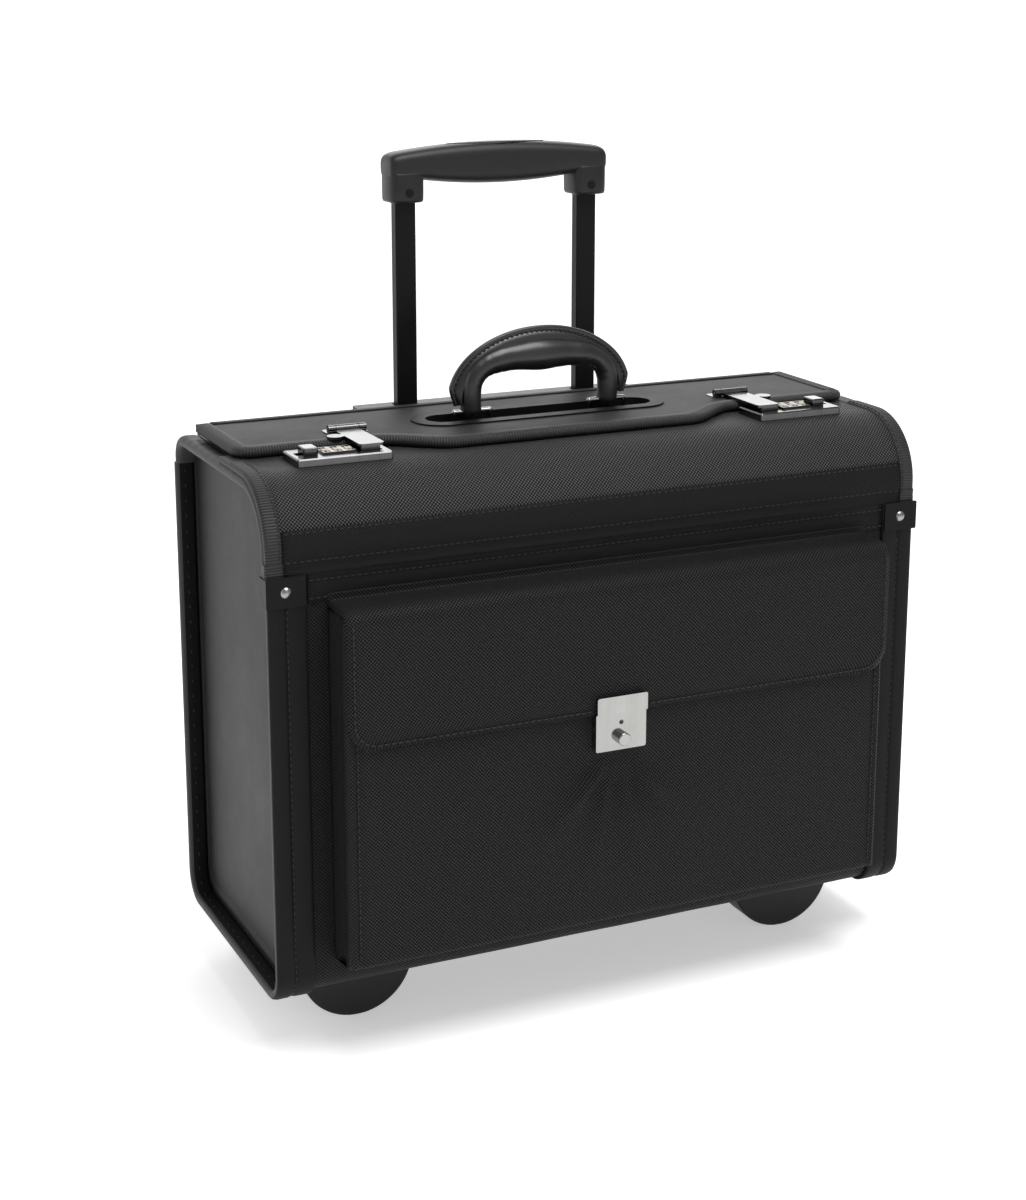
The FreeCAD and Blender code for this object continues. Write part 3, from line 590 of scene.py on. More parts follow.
def sew(name, lines, outward, body, slot, pitch=None, length=None, width=None):
    # lines are lists of points on the surface; outward is a vector or a function of the point; sizes in mm
    pitch = (pitch or stitchValues["pitch"]) * mm
    length = (length or stitchValues["length"]) * mm
    width = (width or stitchValues["width"]) * mm
    height = stitchValues["height"] * mm
    sides, profile = stitchValues["sides"], stitchValues["profile"]
    verts, faces = [], []
    for line in lines:
        for spot, direction in evenly(line, pitch):
            up = (outward(spot) if callable(outward) else outward).normalized()
            side = direction.cross(up).normalized()
            base = len(verts)
            for reach, fat, rise in profile:
                centre = spot + direction * (reach * length) + up * (rise * height)
                for part in range(sides):
                    turn = 2 * math.pi * part / sides
                    verts.append(centre + (side * math.cos(turn) + up * math.sin(turn)) * (width * fat / 2))
            for ring in range(len(profile) - 1):
                low = base + ring * sides
                for part in range(sides):
                    nextPart = (part + 1) % sides
                    faces.append((low + part, low + nextPart, low + sides + nextPart, low + sides + part))
            last = base + (len(profile) - 1) * sides
            faces.append(tuple(base + part for part in range(sides - 1, -1, -1)))
            faces.append(tuple(last + part for part in range(sides)))
    piece = fixNormals(newMesh(name, verts, faces, "thread"))
    return stands(piece, body, slot)


def ripple(x, y, scale, seed=0.0):
    return noise.noise(Vector((x * scale, y * scale, seed)))


def spread(low, high, count):
    return [low + (high - low) * part / (count - 1) for part in range(count)]


def bent(line, normalShift, x):
    # the point of a side-view path frame, moved out along its normal
    point, _, normal = line
    return at(x, point.x + normal.x * normalShift, point.y + normal.y * normalShift)


def lengths(points):
    # running length in metres of a side-view path given in mm
    total = [0.0]
    for first, second in zip(points, points[1:]):
        total.append(total[-1] + (second - first).length * mm)
    return total + [total[-1] + 0.001]


def toCase(point):
    # the reverse of at(), in mm
    return point.x / mm, (point.y - caseFront) / mm, (point.z - caseBase) / mm


def skinPanel(name, line, xs, thickness, finish, body, replaced, skip=None, unevenness=0.25):
    # cloth on board: a side-view line drawn out across the case, slightly uneven
    rows = []
    for place, spot in enumerate(pathFrames(line)):
        rows.append([bent(spot, unevenness * (ripple(x, place * 2, 0.02) - 1), x) for x in xs])
    piece = patch(name, rows, finish, skip=skip)
    thicken(piece, thickness * mm)
    softenEdges(piece, 0.4 * mm)
    stands(piece, body, "woven_fabric", replaced)


def sided(name, side):
    return name + ("_left" if side < 0 else "_right")


def onceOnly(side, node):
    # the left piece of a pair takes the place of the node that holds both
    return [node] if side < 0 else []


# the line and the columns of the cloth come from the CAD panels, less a small gap at the sides
panelHalf = (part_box("front_panel")[1][0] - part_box("front_panel")[0][0]) / 2 / mm - 0.2
rearFace = (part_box("rear_panel")[1][1] - caseFront) / mm
wheelBay = {"inner": 178.3, "outer": 211.7, "front": 126.8, "top": 36.2}
boardValues = {"thickness": 3.8, "corner": 20, "frontTop": 290, "rearTop": 338}


def inWheelBay(point):
    x, y, z = toCase(point)
    return wheelBay["inner"] < abs(x) < wheelBay["outer"] and y > wheelBay["front"] and z < wheelBay["top"]


def panelColumns():
    bay = [wheelBay["inner"], wheelBay["outer"]]
    columns = set(spread(-panelHalf, panelHalf, 61)) | {side * x for x in bay for side in (-1, 1)}
    return sorted(columns)


def makeBoards():
    columns = panelColumns()
    thickness, corner = boardValues["thickness"], boardValues["corner"]
    front = roundedPath([(corner, 0, 0), (0, 0, corner), (0, boardValues["frontTop"], 0)], 4)
    skinPanel("front_panel_fabric", front, columns, thickness, "woven", "case", "front_panel")
    under = roundedPath([(rearFace - corner, 0, 0), (wheelBay["front"], 0, 0), (corner, 0, 0)], 4)
    skinPanel("bottom_panel_fabric", under, columns, thickness, "woven", "case", "bottom_panel", inWheelBay)
    rear = roundedPath([(rearFace, boardValues["rearTop"], 0), (rearFace, wheelBay["top"], 0),
                        (rearFace, 0, corner), (rearFace - corner, 0, 0)], 4)
    skinPanel("rear_panel_fabric", rear, columns, thickness, "woven", "case", "rear_panel", inWheelBay)


rimValues = {
    # (x, outwards) round the section of the tape; its padded spots take the lighter edge leatherette as a painted
    # highlight on the rounded crown
    "section": [(214, 0.1), (214.1, 1.5), (214.9, 2.2), (216.5, 2.3), (224.6, 2.25), (226.2, 1.9), (226.9, 1.1),
                (227.6, 1.1), (228.3, 1.9), (229.9, 2.25), (236.8, 2.3), (238.8, 1.8), (239.8, 0.6), (240, -0.9),
                (239.8, -2.6), (239, -3.7), (237.4, -4), (229.2, -4), (227.5, -3.7), (227.1, -3), (227.1, 0.1)],
    "padded": range(12, 16), "stitchX": 227.2, "innerStitchX": 233.6, "innerPitch": 11.0,
}


def makeRims():
    corner = boardValues["corner"]
    line = roundedPath([(rearFace, 322, 0), (rearFace, 0, corner), (0, 0, corner), (0, 289, 0)], 2.5)
    frames = pathFrames(line)
    for side in (-1, 1):
        rows = [[bent(spot, n, side * x) for x, n in rimValues["section"]] for spot in frames]
        name = sided("rim_binding", side)
        # the padded crown faces take the lighter edge leatherette: painted highlight
        piece = patch(name, rows, "rim", ringed=True, capped=True, extra="edge",
                      pick=lambda spot: int(spot in rimValues["padded"]), sharp=60, measured=lengths(line))
        fixNormals(piece)
        softenEdges(piece, 0.3 * mm, angle=60)
        stands(piece, "case", "binding_tape", *onceOnly(side, "rim_bindings"))
        seam = [bent(spot, 1.1, side * rimValues["stitchX"]) for spot in frames]
        sew(name + "_seam", [seam], outwardFromCase, "case", "binding_tape")
        dots = [bent(spot, -4.1, side * rimValues["innerStitchX"]) for spot in frames]
        sew(name + "_dots", [dots], lambda point: -outwardFromCase(point), "case", "binding_tape",
            pitch=rimValues["innerPitch"], length=2.6, width=1.1)


def outwardFromCase(point):
    # away from the rounded-rectangle side outline of the body
    _, y, z = toCase(point)
    corner = boardValues["corner"]
    y0, z0 = min(max(y, corner), rearFace - corner), max(z, corner)
    return Vector((0, y - y0, z - z0)) if abs(y - y0) + abs(z - z0) > 0.01 else Vector((0, 0, -1))


edgeValues = {
    # (x, outwards) round the section of the padded edge
    "section": [(227.4, -7.6), (227.1, -4), (227.4, -1.3), (228.6, -0.3), (231, 0.1), (235.5, 0.1), (238, -0.5),
                (239.5, -2), (240, -4), (239.6, -6.2), (238, -7.7), (235.5, -8), (229.5, -8)],
}


def makeTopEdges():
    line = roundedPath([(3.3, 289.2, 0), (3.3, 343.7, 41.7), (rearFace, 343.7, 18), (rearFace, 322.2, 0)], 2)
    frames = pathFrames(line)
    for side in (-1, 1):
        rows = []
        for place, spot in enumerate(frames):
            swell = 0.12 * math.sin(place * 0.9) + 0.1 * ripple(place, side, 0.3)
            rows.append([bent(spot, n + (swell if n > -5 else 0), side * x) for x, n in edgeValues["section"]])
        name = sided("top_edge", side)
        # the padded edge takes the lighter edge leatherette all over: painted highlight along its rounded top
        piece = fixNormals(patch(name, rows, "edge", ringed=True, capped=True, sharp=70, measured=lengths(line)))
        stands(piece, "case", "edge_leatherette", *onceOnly(side, "top_edges"))


sideValues = {
    "inset": 4.2, "top": 343, "middle": 172,
    # (x, share of the outline's size) from the rim of the board to its middle
    "rings": [(223.2, 1.0), (226.6, 1.0), (226.9, 0.995), (227.3, 0.985), (227.5, 0.972), (227.2, 0.960),
              (226.6, 0.948), (226.9, 0.925), (227.1, 0.85), (227.2, 0.7), (227.3, 0.5), (227.3, 0.3), (227.3, 0.1)],
}


def makeSides():
    values = sideValues
    first, last = values["inset"], rearFace - values["inset"]
    outline = roundedPath([(first, 150, 0), (first, values["top"], 41), (last, values["top"], 14), (last, first, 16),
                           (first, first, 16), (first, 150, 0)], 5)[:-1]
    middle = Vector((rearFace / 2, values["middle"]))
    for side in (-1, 1):
        rows = []
        for x, scale in values["rings"]:
            row = []
            for point in outline:
                near = middle + (point - middle) * scale
                sway = 0.35 * ripple(near.x, near.y, 0.012, side) if scale < 0.94 else 0
                row.append(at(side * (x + sway), near.x, near.y))
            rows.append(row)
        name = sided("side_panel", side)
        piece = fixNormals(patch(name, rows, "side", ringed=True, capped=True, sharp=50))
        stands(piece, "case", "side_leatherette", *onceOnly(side, "side_panels"))


makeBoards()
makeRims()
makeTopEdges()
makeSides()
print("boards, rims and sides made")


coverTop = (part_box("front_cover")[1][2] - caseBase) / mm
coverValues = {"low": 294.2, "curve": 45, "rear": 92.8, "half": 229.2, "thickness": 2.9}
lockHole = {"inner": 140.9, "outer": 200.6, "front": 44, "rear": 67}
bindingValues = {
    # (x, outwards) round the section of the cover's side tape, and of its piece over the fold
    "section": [(229, -3.1), (229, 0.2), (229.5, 0.8), (231, 1.0), (237.6, 1.0), (239.4, 0.5), (240, -0.7),
                (240, -2.2), (239.3, -3.2), (237.6, -3.6), (231, -3.4)],
    "foldSection": [(228.6, 1.2), (231, 1.5), (237.6, 1.4), (239.8, 0.9), (240.6, -0.6), (240.6, -4.4)],
    "step": 0.475, "ribPitch": 1.9, "ribHeight": 0.16, "seamX": 230.6, "flapFrom": 70,
}


def coverLine(step):
    values = coverValues
    return roundedPath([(0, values["low"], 0), (0, coverTop, values["curve"]), (values["rear"], coverTop, 0)], step)


def ribbing(place):
    values = bindingValues
    return values["ribHeight"] * abs(math.sin(math.pi * place * values["step"] / values["ribPitch"]))


def underLock(point):
    x, y, _ = toCase(point)
    return lockHole["inner"] < abs(x) < lockHole["outer"] and lockHole["front"] < y < lockHole["rear"]


def makeCover():
    values = coverValues
    holeEdges = {side * lockHole[end] for end in ("inner", "outer") for side in (-1, 1)}
    columns = sorted(set(spread(-values["half"], values["half"], 61)) | holeEdges)
    skinPanel("front_cover_fabric", coverLine(2), columns, values["thickness"], "cover", "cover", "front_cover",
              skip=underLock, unevenness=0.15)
    line = coverLine(bindingValues["step"])
    frames = pathFrames(line)
    for side in (-1, 1):
        rows = []
        for place, spot in enumerate(frames):
            underFlap = spot[0].x > bindingValues["flapFrom"]
            rib = ribbing(place)
            rows.append([bent(spot, min(n, 0.15) if underFlap else n + (rib if n > 0 else 0), side * x)
                         for x, n in bindingValues["section"]])
        name = sided("cover_binding", side)
        piece = fixNormals(patch(name, rows, "tape", ringed=True, capped=True, sharp=75, measured=lengths(line)))
        stands(piece, "cover", "binding_tape", *onceOnly(side, "cover_bindings"))
        seam = [bent(spot, 1.1, side * bindingValues["seamX"]) for spot in frames
                if spot[0].x < bindingValues["flapFrom"]]
        sew(name + "_seam", [seam], coverOutward, "cover", "binding_tape")


def coverOutward(point):
    _, y, z = toCase(point)
    y0, z0 = max(y, coverValues["curve"]), min(z, coverTop - coverValues["curve"])
    return Vector((0, y - y0, z - z0)) if abs(y - y0) + abs(z - z0) > 0.01 else Vector((0, -1, 0))


hingeValues = {"aboveFlap": 270.8, "axis": 293.2, "upTo": 317.3, "out": 1.1, "narrow": 213.6, "wide": 228.6,
               "rows": [272.6, 284.0, 297.0, 314.9]}


def makeFrontHinge():
    values = hingeValues
    low = values["aboveFlap"]
    line = roundedPath([(0, low, 0), (0, coverTop, coverValues["curve"]), (60, coverTop, 0)], 1.0)
    line = [point for point, reach in zip(line, lengths(line)) if reach / mm + low < values["upTo"]]
    frames = pathFrames(line)
    rows = []
    for place, spot in enumerate(frames):
        height = place + low
        half = values["narrow"] if spot[0].y < 289.3 else values["wide"]
        groove = sum(0.45 * math.exp(-((height - row) / 1.3) ** 2) for row in values["rows"])
        fold = 0.7 * math.exp(-((height - values["axis"]) / 2.2) ** 2)
        puff = 0.3 * math.sin(math.pi * (height - 271) / 13) ** 2
        lip = 0.5 if place > len(frames) - 3 else 0
        out = values["out"] - groove - fold + puff - lip
        rows.append([bent(spot, out + 0.12 * ripple(x, height, 0.05), x) for x in spread(-half, half, 91)])
    band = patch("front_hinge_fabric", rows, "hinge")
    thicken(band, 1.0 * mm)
    at(0, 0, 289.6)
    at(0, 0, 296.5)
    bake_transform(band)
    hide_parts("front_hinge_band")
    for place, height in enumerate(values["rows"]):
        spot = min(frames, key=lambda one: abs(one[0].y - height))
        half, body = (213, "case") if height < 290 else (228, "cover")
        row = [bent(spot, values["out"] - 0.35, x) for x in spread(-half, half, 90)]
        sew(f"hinge_seam_{place + 1}", [row], Vector((0, -1, 0.2)), body, "woven_fabric")


def makeBindingHinges():
    # the side tape carries on over the fold, from the corner clip up to the cover
    for side in (-1, 1):
        rows = []
        for place, z in enumerate(spread(287.5, 297, 21)):
            fold = 0.3 * math.exp(-((z - hingeValues["axis"]) / 1.5) ** 2)
            rows.append([at(side * x, -n - ribbing(place) + fold, z) for x, n in bindingValues["foldSection"]])
        name = sided("binding_hinge", side)
        piece = fixNormals(patch(name, rows, "tape", sharp=70))
        thicken(piece, 0.7 * mm, even=False)
        at(0, 0, 289.6)
        at(0, 0, 296.5)
        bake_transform(piece)


makeCover()
makeFrontHinge()
makeBindingHinges()
print("front cover made")


pocketValues = {"half": 200, "depth": 30, "low": 29, "high": 257.3, "corner": 6, "lockX": -10, "lockZ": 153,
                "pucker": 7.0, "sag": 2.4, "seamX": 193}


def pocketRelief(x, z):
    # how far the front stands out, in mm: drawn in round the lock, with creases that fan out below it
    values = pocketValues
    dx, dz = x - values["lockX"], values["lockZ"] - z
    away = math.hypot(dx, dz)
    angle = math.atan2(dx, dz)
    fade = math.exp(-((away - 30) / 34) ** 2) if away > 30 else math.exp(-((away - 30) / 9) ** 2)
    below = max(0.0, math.cos(angle * 0.75)) if dz > -5 else 0
    ridges = math.exp(-((abs(angle) - 0.72) / 0.17) ** 2) + 0.5 * math.exp(-((abs(angle) - 0.22) / 0.11) ** 2)
    crease = values["pucker"] * fade * below * (ridges - 0.35)
    up = min(max((168 - z) / 136, 0), 1)
    body = values["sag"] * max(0, 1 - (x / 190) ** 2) * max(0, math.sin(math.pi * up))
    calm = 1 - math.exp(-(away / 60) ** 2)
    return crease + body * calm + 0.35 * ripple(x, z, 0.018) * calm


def makePocket():
    values = pocketValues
    half, depth = values["half"], values["depth"]
    line = roundedPath([(-half, 0, 0), (-half, -depth, values["corner"]), (half, -depth, values["corner"]),
                        (half, 0, 0)], 3)
    rows = []
    foot = [(values["low"], 0.03), (values["low"], 0.5), (values["low"], 0.88), (values["low"] + 0.8, 0.96),
            (values["low"] + 2.6, 0.99), (values["low"] + 5, 1.0)]
    heights = foot + [(z, 1.0) for z in spread(values["low"] + 8, values["high"], 92)]
    # the top edge leans in under the flap
    heights += [(259, 0.995), (261, 0.985), (263, 0.955), (264.6, 0.90)]
    for z, full in heights:
        row = []
        for point in line:
            onFront = max(0.0, min(1.0, (-point.y - depth + 5) / 5))
            edge = max(0.0, 1 - abs(abs(point.x) - values["seamX"]) / 3.2) * onFront * 2.0
            inward = 2.2 * math.exp(-((point.y + 15) / 6) ** 2) if abs(point.x) > half - 1 else 0
            welt = 1.5 * max(0.0, 1 - (half - abs(point.x)) / 7) * onFront
            out = onFront * pocketRelief(point.x, z) * full + welt - edge * 0.7
            x = point.x - math.copysign(inward, point.x)
            row.append(at(x, point.y * full - out * full - 0.3, z))
        rows.append(row)
    piece = patch("pocket_fabric", rows, "woven", sharp=60)
    thicken(piece, 2.2 * mm, even=False)
    stands(piece, "case", "woven_fabric", "pocket_body")
    seams = []
    for side in (-1, 1):
        x = side * values["seamX"]
        seams.append([at(x, -depth - pocketRelief(x, z), z) for z in spread(36, 254, 40)])
    sew("pocket_edge_seams", seams, Vector((0, -1, 0)), "case", "woven_fabric")


flapValues = {"front": -34.3, "low": 177.7, "top": 270.0, "roll": 12, "corner": 20, "half": 200, "thick": 3.4,
              "seamIn": 4.2, "notchLeft": -20.8, "notchRight": 0.8, "notchTop": 185.9}


def pocketFlapHalf(z):
    values = flapValues
    short = values["low"] + values["corner"] - z
    if short <= 0:
        return values["half"]
    return values["half"] - values["corner"] + math.sqrt(max(values["corner"] ** 2 - short ** 2, 0))


def makePocketFlap():
    values = flapValues
    line = roundedPath([(values["front"], values["low"], 0), (values["front"], values["low"] + 20, 0),
                        (values["front"], values["top"], values["roll"]), (-1.5, values["top"], 1.2),
                        (-1.5, 275, 0)], 1.6)
    frames = pathFrames(line)
    rows = []
    for spot in frames:
        z = spot[0].y
        onFace = spot[0].x < -30
        half = pocketFlapHalf(z) if onFace else values["half"]
        row = []
        for part in range(-60, 61):
            x = part / 60 * half
            if z < 200:
                for edge in (values["notchLeft"], values["notchRight"]):
                    if abs(x - edge) < half / 121:
                        x = edge
            margin = half - abs(x)
            if onFace:
                margin = min(margin, max(0, z - values["low"]))
            groove = 0.75 * math.exp(-((margin - values["seamIn"]) / 1.3) ** 2)
            rounding = 1.3 * math.exp(-margin / 1.4)
            swell = 0.9 * (1 - math.exp(-margin / 18)) * (0.7 + 0.4 * ripple(x, z, 0.013, 3))
            thin = 1.0 if spot[0].x < -20 else max(0.0, min(1.0, (-spot[0].x - 4) / 16))
            row.append(bent(spot, (swell - groove - rounding) * thin, x))
        rows.append(row)

    def nearLock(point):
        x, _, z = toCase(point)
        return values["notchLeft"] < x < values["notchRight"] and z < values["notchTop"]

    piece = patch("pocket_flap_fabric", rows, "woven", skip=nearLock, sharp=60)
    thicken(piece, values["thick"] * mm)
    at(0, -1.5, 272)
    at(0, -9, 270)
    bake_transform(piece)
    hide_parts("pocket_flap")
    inset = values["seamIn"]
    seam = roundedPath([(-values["half"] + inset, 262, 0),
                        (-values["half"] + inset, values["low"] + inset, values["corner"] - inset),
                        (values["half"] - inset, values["low"] + inset, values["corner"] - inset),
                        (values["half"] - inset, 262, 0)], 3)
    surface = values["front"] - 0.3
    left = [at(point.x, surface, point.y) for point in seam if point.x < -29.5]
    right = [at(point.x, surface, point.y) for point in seam if point.x > 9.5]
    sew("pocket_flap_seam", [left, right], Vector((0, -1, 0)), "pocket_flap", "woven_fabric")


makePocket()
makePocketFlap()
print("pocket made")


topValues = {"half": 231.5, "middle": 50.2, "outer": 77.0, "turnFrom": 88.0, "turnTo": 136.0, "rear": 169.4,
             "under": 347.5, "top": 353.3, "holeLength": 86, "holeWidth": 12.5, "corner": 12, "handleY": 110}


def flapFront(x):
    values = topValues
    part = min(max((abs(x) - values["turnFrom"]) / (values["turnTo"] - values["turnFrom"]), 0), 1)
    smooth = part * part * (3 - 2 * part)
    front = values["middle"] + (values["outer"] - values["middle"]) * smooth
    short = abs(x) - (values["half"] - values["corner"])
    if short > 0:
        front += values["corner"] - math.sqrt(max(values["corner"] ** 2 - short ** 2, 0))
    return front


def flapHeight(x, y):
    values = topValues
    edge = min(values["half"] - abs(x), y - flapFront(x), values["rear"] - y)
    crown = 0.5 * (1 - math.exp(-max(edge, 0) / 20))
    return values["top"] - 0.35 + crown + 0.22 * ripple(x, y, 0.02, 5) * (1 - math.exp(-max(edge, 0) / 8))


def makeTopFlap():
    values = topValues
    xs = spread(-values["half"], values["half"], 141)
    rows = []
    for part in spread(0, 1, 56):
        row = []
        for x in xs:
            y = flapFront(x) + (values["rear"] - flapFront(x)) * part
            row.append(at(x, y, flapHeight(x, y)))
        rows.append(row)

    def inRecess(point):
        x, y, _ = toCase(point)
        reach = max(abs(x) - (values["holeLength"] - values["holeWidth"]), 0)
        return math.hypot(reach, y - values["handleY"]) < values["holeWidth"] + 2.5

    piece = patch("top_flap_fabric", rows, "flap", skip=inRecess, sharp=60)
    thicken(piece, (values["top"] - values["under"] - 0.4) * mm)
    stands(piece, "flap", "flap_fabric", "top_flap")


lipValues = {
    # (outwards from the flap's edge, height) of the tape folded round it
    "section": [(-8.8, 353.5), (-8.4, 354.1), (-6, 354.4), (-2.2, 354.3), (0.2, 353.4), (1.3, 351.6), (1.4, 349.8),
                (0.6, 348.2), (-1.2, 347.6), (-7, 347.6), (-8.8, 348.0)],
}


def flapEdgeLine(step):
    values = topValues
    points = [Vector((-values["half"], 163.5))]
    points += [Vector((-values["half"], y)) for y in spread(160, values["outer"] + values["corner"] + 1, 30)]
    for x in spread(-values["half"] + 0.02, values["half"] - 0.02, 900):
        points.append(Vector((x, flapFront(x))))
    points += [Vector((values["half"], y)) for y in spread(values["outer"] + values["corner"] + 1, 160, 30)]
    points.append(Vector((values["half"], 163.5)))
    line = [points[0]]
    left = step
    for first, second in zip(points, points[1:]):
        gap = second - first
        done = 0.0
        while gap.length - done >= left:
            done += left
            line.append(first + gap * (done / gap.length))
            left = step
        left -= gap.length - done
    return line


def makeFlapBinding():
    line = flapEdgeLine(bindingValues["step"])
    smoothLine = line[:]
    for place in range(4, len(line) - 4):
        smoothLine[place] = sum(line[place - 4:place + 5], Vector((0, 0))) / 9
    rows = []
    for place, (point, _, normal) in enumerate(pathFrames(smoothLine)):
        row = []
        for out, z in lipValues["section"]:
            rib = ribbing(place) if out > -8 and z > 348 else 0
            away = point - normal * (out + (rib if out > 0 else 0))
            row.append(at(away.x, away.y, z + (rib if out <= 0 else 0)))
        rows.append(row)
    piece = fixNormals(patch("flap_binding_tape", rows, "tape", ringed=True, capped=True, sharp=75,
                             measured=lengths(smoothLine)))
    stands(piece, "flap", "binding_tape", "flap_binding")


rearHingeValues = {
    "half": 221.5,
    # (y, z) of the cloth strip, from the flap over the fold to the rear rail
    "line": [(161.0, 353.9), (163.0, 354.1), (165.6, 354.2), (168.2, 353.8), (170.2, 352.7), (171.6, 351.2),
             (172.9, 349.3), (174.2, 347.6), (175.6, 346.3), (176.9, 345.5)],
}


def makeRearHinge():
    xs = spread(-rearHingeValues["half"], rearHingeValues["half"], 81)
    rows = [[at(x, y + 0.08 * ripple(x, y, 0.05), z) for x in xs] for y, z in rearHingeValues["line"]]
    strip = patch("rear_hinge_fabric", rows, "flap", sharp=60)
    thicken(strip, 0.8 * mm)
    at(0, 176.4, 345.6)
    at(0, 171.0, 351.8)
    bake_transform(strip)
    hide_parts("flap_hinge_strip")


makeTopFlap()
makeFlapBinding()
makeRearHinge()
print("top flap made")


handleValues = {"reach": 53.0, "rise": 28.4, "spring": 366.0, "power": 0.64, "foot": 354.3, "footX": 52.3,
                "y": 110.0, "sides": 32, "points": 150}
# (share of the length, radius) from a foot to the middle
padRadii = [(0.0, 6.6), (0.03, 7.3), (0.10, 7.5), (0.20, 7.9), (0.34, 9.6), (0.5, 11.6)]
stripValues = {
    "reach": 70.0, "rise": 48.0, "low": 361.8, "half": 1.9, "seamIn": 3.4,
    # (outwards, share of the half thickness) round the section
    "section": [(0.2, 0), (0, 0.7), (-0.6, 1.05), (-2.4, 1.1), (-3.4, 0.75), (-4.4, 1.2), (-6.5, 1.7), (-9, 2.0),
                (-9, -2.0), (-6.5, -1.7), (-4.4, -1.2), (-3.4, -0.75), (-2.4, -1.1), (-0.6, -1.05), (0, -0.7)],
}


def stepBetween(table, share):
    for (a, low), (b, high) in zip(table, table[1:]):
        if share <= b:
            part = (share - a) / (b - a)
            return low + (high - low) * part * part * (3 - 2 * part)
    return table[-1][1]


def archLine(reach, rise, power, count):
    points = []
    for place in range(count + 1):
        turn = math.pi * (1 - place / count)
        across = math.copysign(abs(math.cos(turn)) ** power, math.cos(turn))
        points.append(Vector((reach * across, handleValues["spring"] + rise * max(math.sin(turn), 0) ** power)))
    return points


def makeHandle():
    values = handleValues
    arch = archLine(values["reach"], values["rise"], values["power"], values["points"])
    legs = [Vector((-values["footX"] - (values["reach"] - values["footX"]) * part ** 0.8,
                    values["foot"] + (values["spring"] - values["foot"]) * part)) for part in spread(0, 1, 9)[:-1]]
    line = legs + arch + [Vector((-point.x, point.y)) for point in reversed(legs)]
    frames = pathFrames(line)
    run = lengths(line)
    rows = []
    for place, (point, _, normal) in enumerate(frames):
        share = run[place] / run[len(line) - 1]
        near = min(share, 1 - share)
        radius = stepBetween(padRadii, near)
        if near * run[len(line) - 1] < 0.003:
            radius *= 0.72 + 0.28 * math.sqrt(near * run[len(line) - 1] / 0.003)
        row = []
        for part in range(values["sides"]):
            turn = 2 * math.pi * part / values["sides"]
            inner = max(0.0, -math.cos(turn)) ** 2
            crease = 0.14 * inner * math.sin(place * 0.7) * math.exp(-((near - 0.25) / 0.07) ** 2)
            swell = 1 + 0.014 * ripple(place * 2, part * 3, 0.11)
            offSeam = turn - 2 * math.pi if turn > math.pi else turn
            groove = 0.7 * math.exp(-(offSeam / 0.30) ** 2)
            away = point + normal * (radius * swell * math.cos(turn) - crease - groove)
            row.append(at(away.x, values["y"] + radius * 0.93 * swell * math.sin(turn), away.y))
        rows.append(row)
    roll = fixNormals(patch("carry_handle_pad", rows, "handle", ringed=True, capped=True, sharp=60))
    stands(roll, "handle", "handle_leather", "carry_handle")


def makeHandleStrip():
    values = stripValues
    outer = archLine(values["reach"], values["rise"], 1.0, 170)
    foot = values["reach"] - 0.6
    outer = [Vector((-foot, values["low"]))] + outer + [Vector((foot, values["low"]))]
    rows = []
    frames = pathFrames(outer)
    total = len(frames) - 1
    for place, (point, _, normal) in enumerate(frames):
        taper = min(1.0, 0.2 + min(place, total - place) / 14)
        row = []
        for out, thick in values["section"]:
            away = point + normal * (out - (1 - taper) * 5 * (1 + out / 9))
            row.append(at(away.x, handleValues["y"] + thick * values["half"], away.y))
        rows.append(row)
    strip = fixNormals(patch("carry_handle_edge_strip", rows, "handle", ringed=True, capped=True, sharp=60))
    stands(strip, "handle", "handle_leather", "carry_handle_strip")
    for side in (-1, 1):
        seam = []
        for point, _, normal in frames[5:-5]:
            away = point - normal * values["seamIn"]
            seam.append(at(away.x, handleValues["y"] + side * (values["half"] * 0.85), away.y))
        sew("handle_seam_front" if side < 0 else "handle_seam_back", [seam], Vector((0, side, 0)), "handle",
            "handle_leather", pitch=3.8, length=3.0, width=1.7)


makeHandle()
makeHandleStrip()
print("carry handle made")


gripValues = {"half": 84.0, "y": 185.0, "deep": 12.5, "crown": 535.8, "endTop": 529.5, "middleLow": 506.4,
              "endLow": 510.5, "lensX": 38.0, "lensY": 8.2, "pocket": 8.4, "socketIn": 58.7, "socketOut": 83.8,
              "socketDeep": 12.4, "socketRound": 4.5, "socketLow": 495.5, "socketHigh": 517.0}


def gripTop(x):
    part = x / gripValues["half"]
    return gripValues["crown"] - (gripValues["crown"] - gripValues["endTop"]) * part ** 2


def gripLow(x):
    part = min(abs(x) / gripValues["socketIn"], 1)
    return gripValues["middleLow"] + (gripValues["endLow"] - gripValues["middleLow"]) * part ** 2


def gripSkin(x, turn):
    # a rounded-box section: flat sides with broad soft shoulders
    end = min((gripValues["half"] - abs(x)) / 9, 1)
    close = (1 - (1 - end) ** 2.6) ** (1 / 2.6) if end < 1 else 1
    high, low = gripTop(x), gripLow(x)
    middle, tall = (high + low) / 2, (high - low) / 2
    power = 2 / 3.2
    across = math.copysign(abs(math.cos(turn)) ** power, math.cos(turn)) * gripValues["deep"]
    up = math.copysign(abs(math.sin(turn)) ** power, math.sin(turn)) * tall
    return across * (0.72 + 0.28 * close), middle + up * (0.55 + 0.45 * close)


def inLens(x, y, grow=0.0):
    values = gripValues
    part = 1 - (x / (values["lensX"] + grow)) ** 2
    return part > 0 and abs(y) < (values["lensY"] + grow) * part ** 0.8


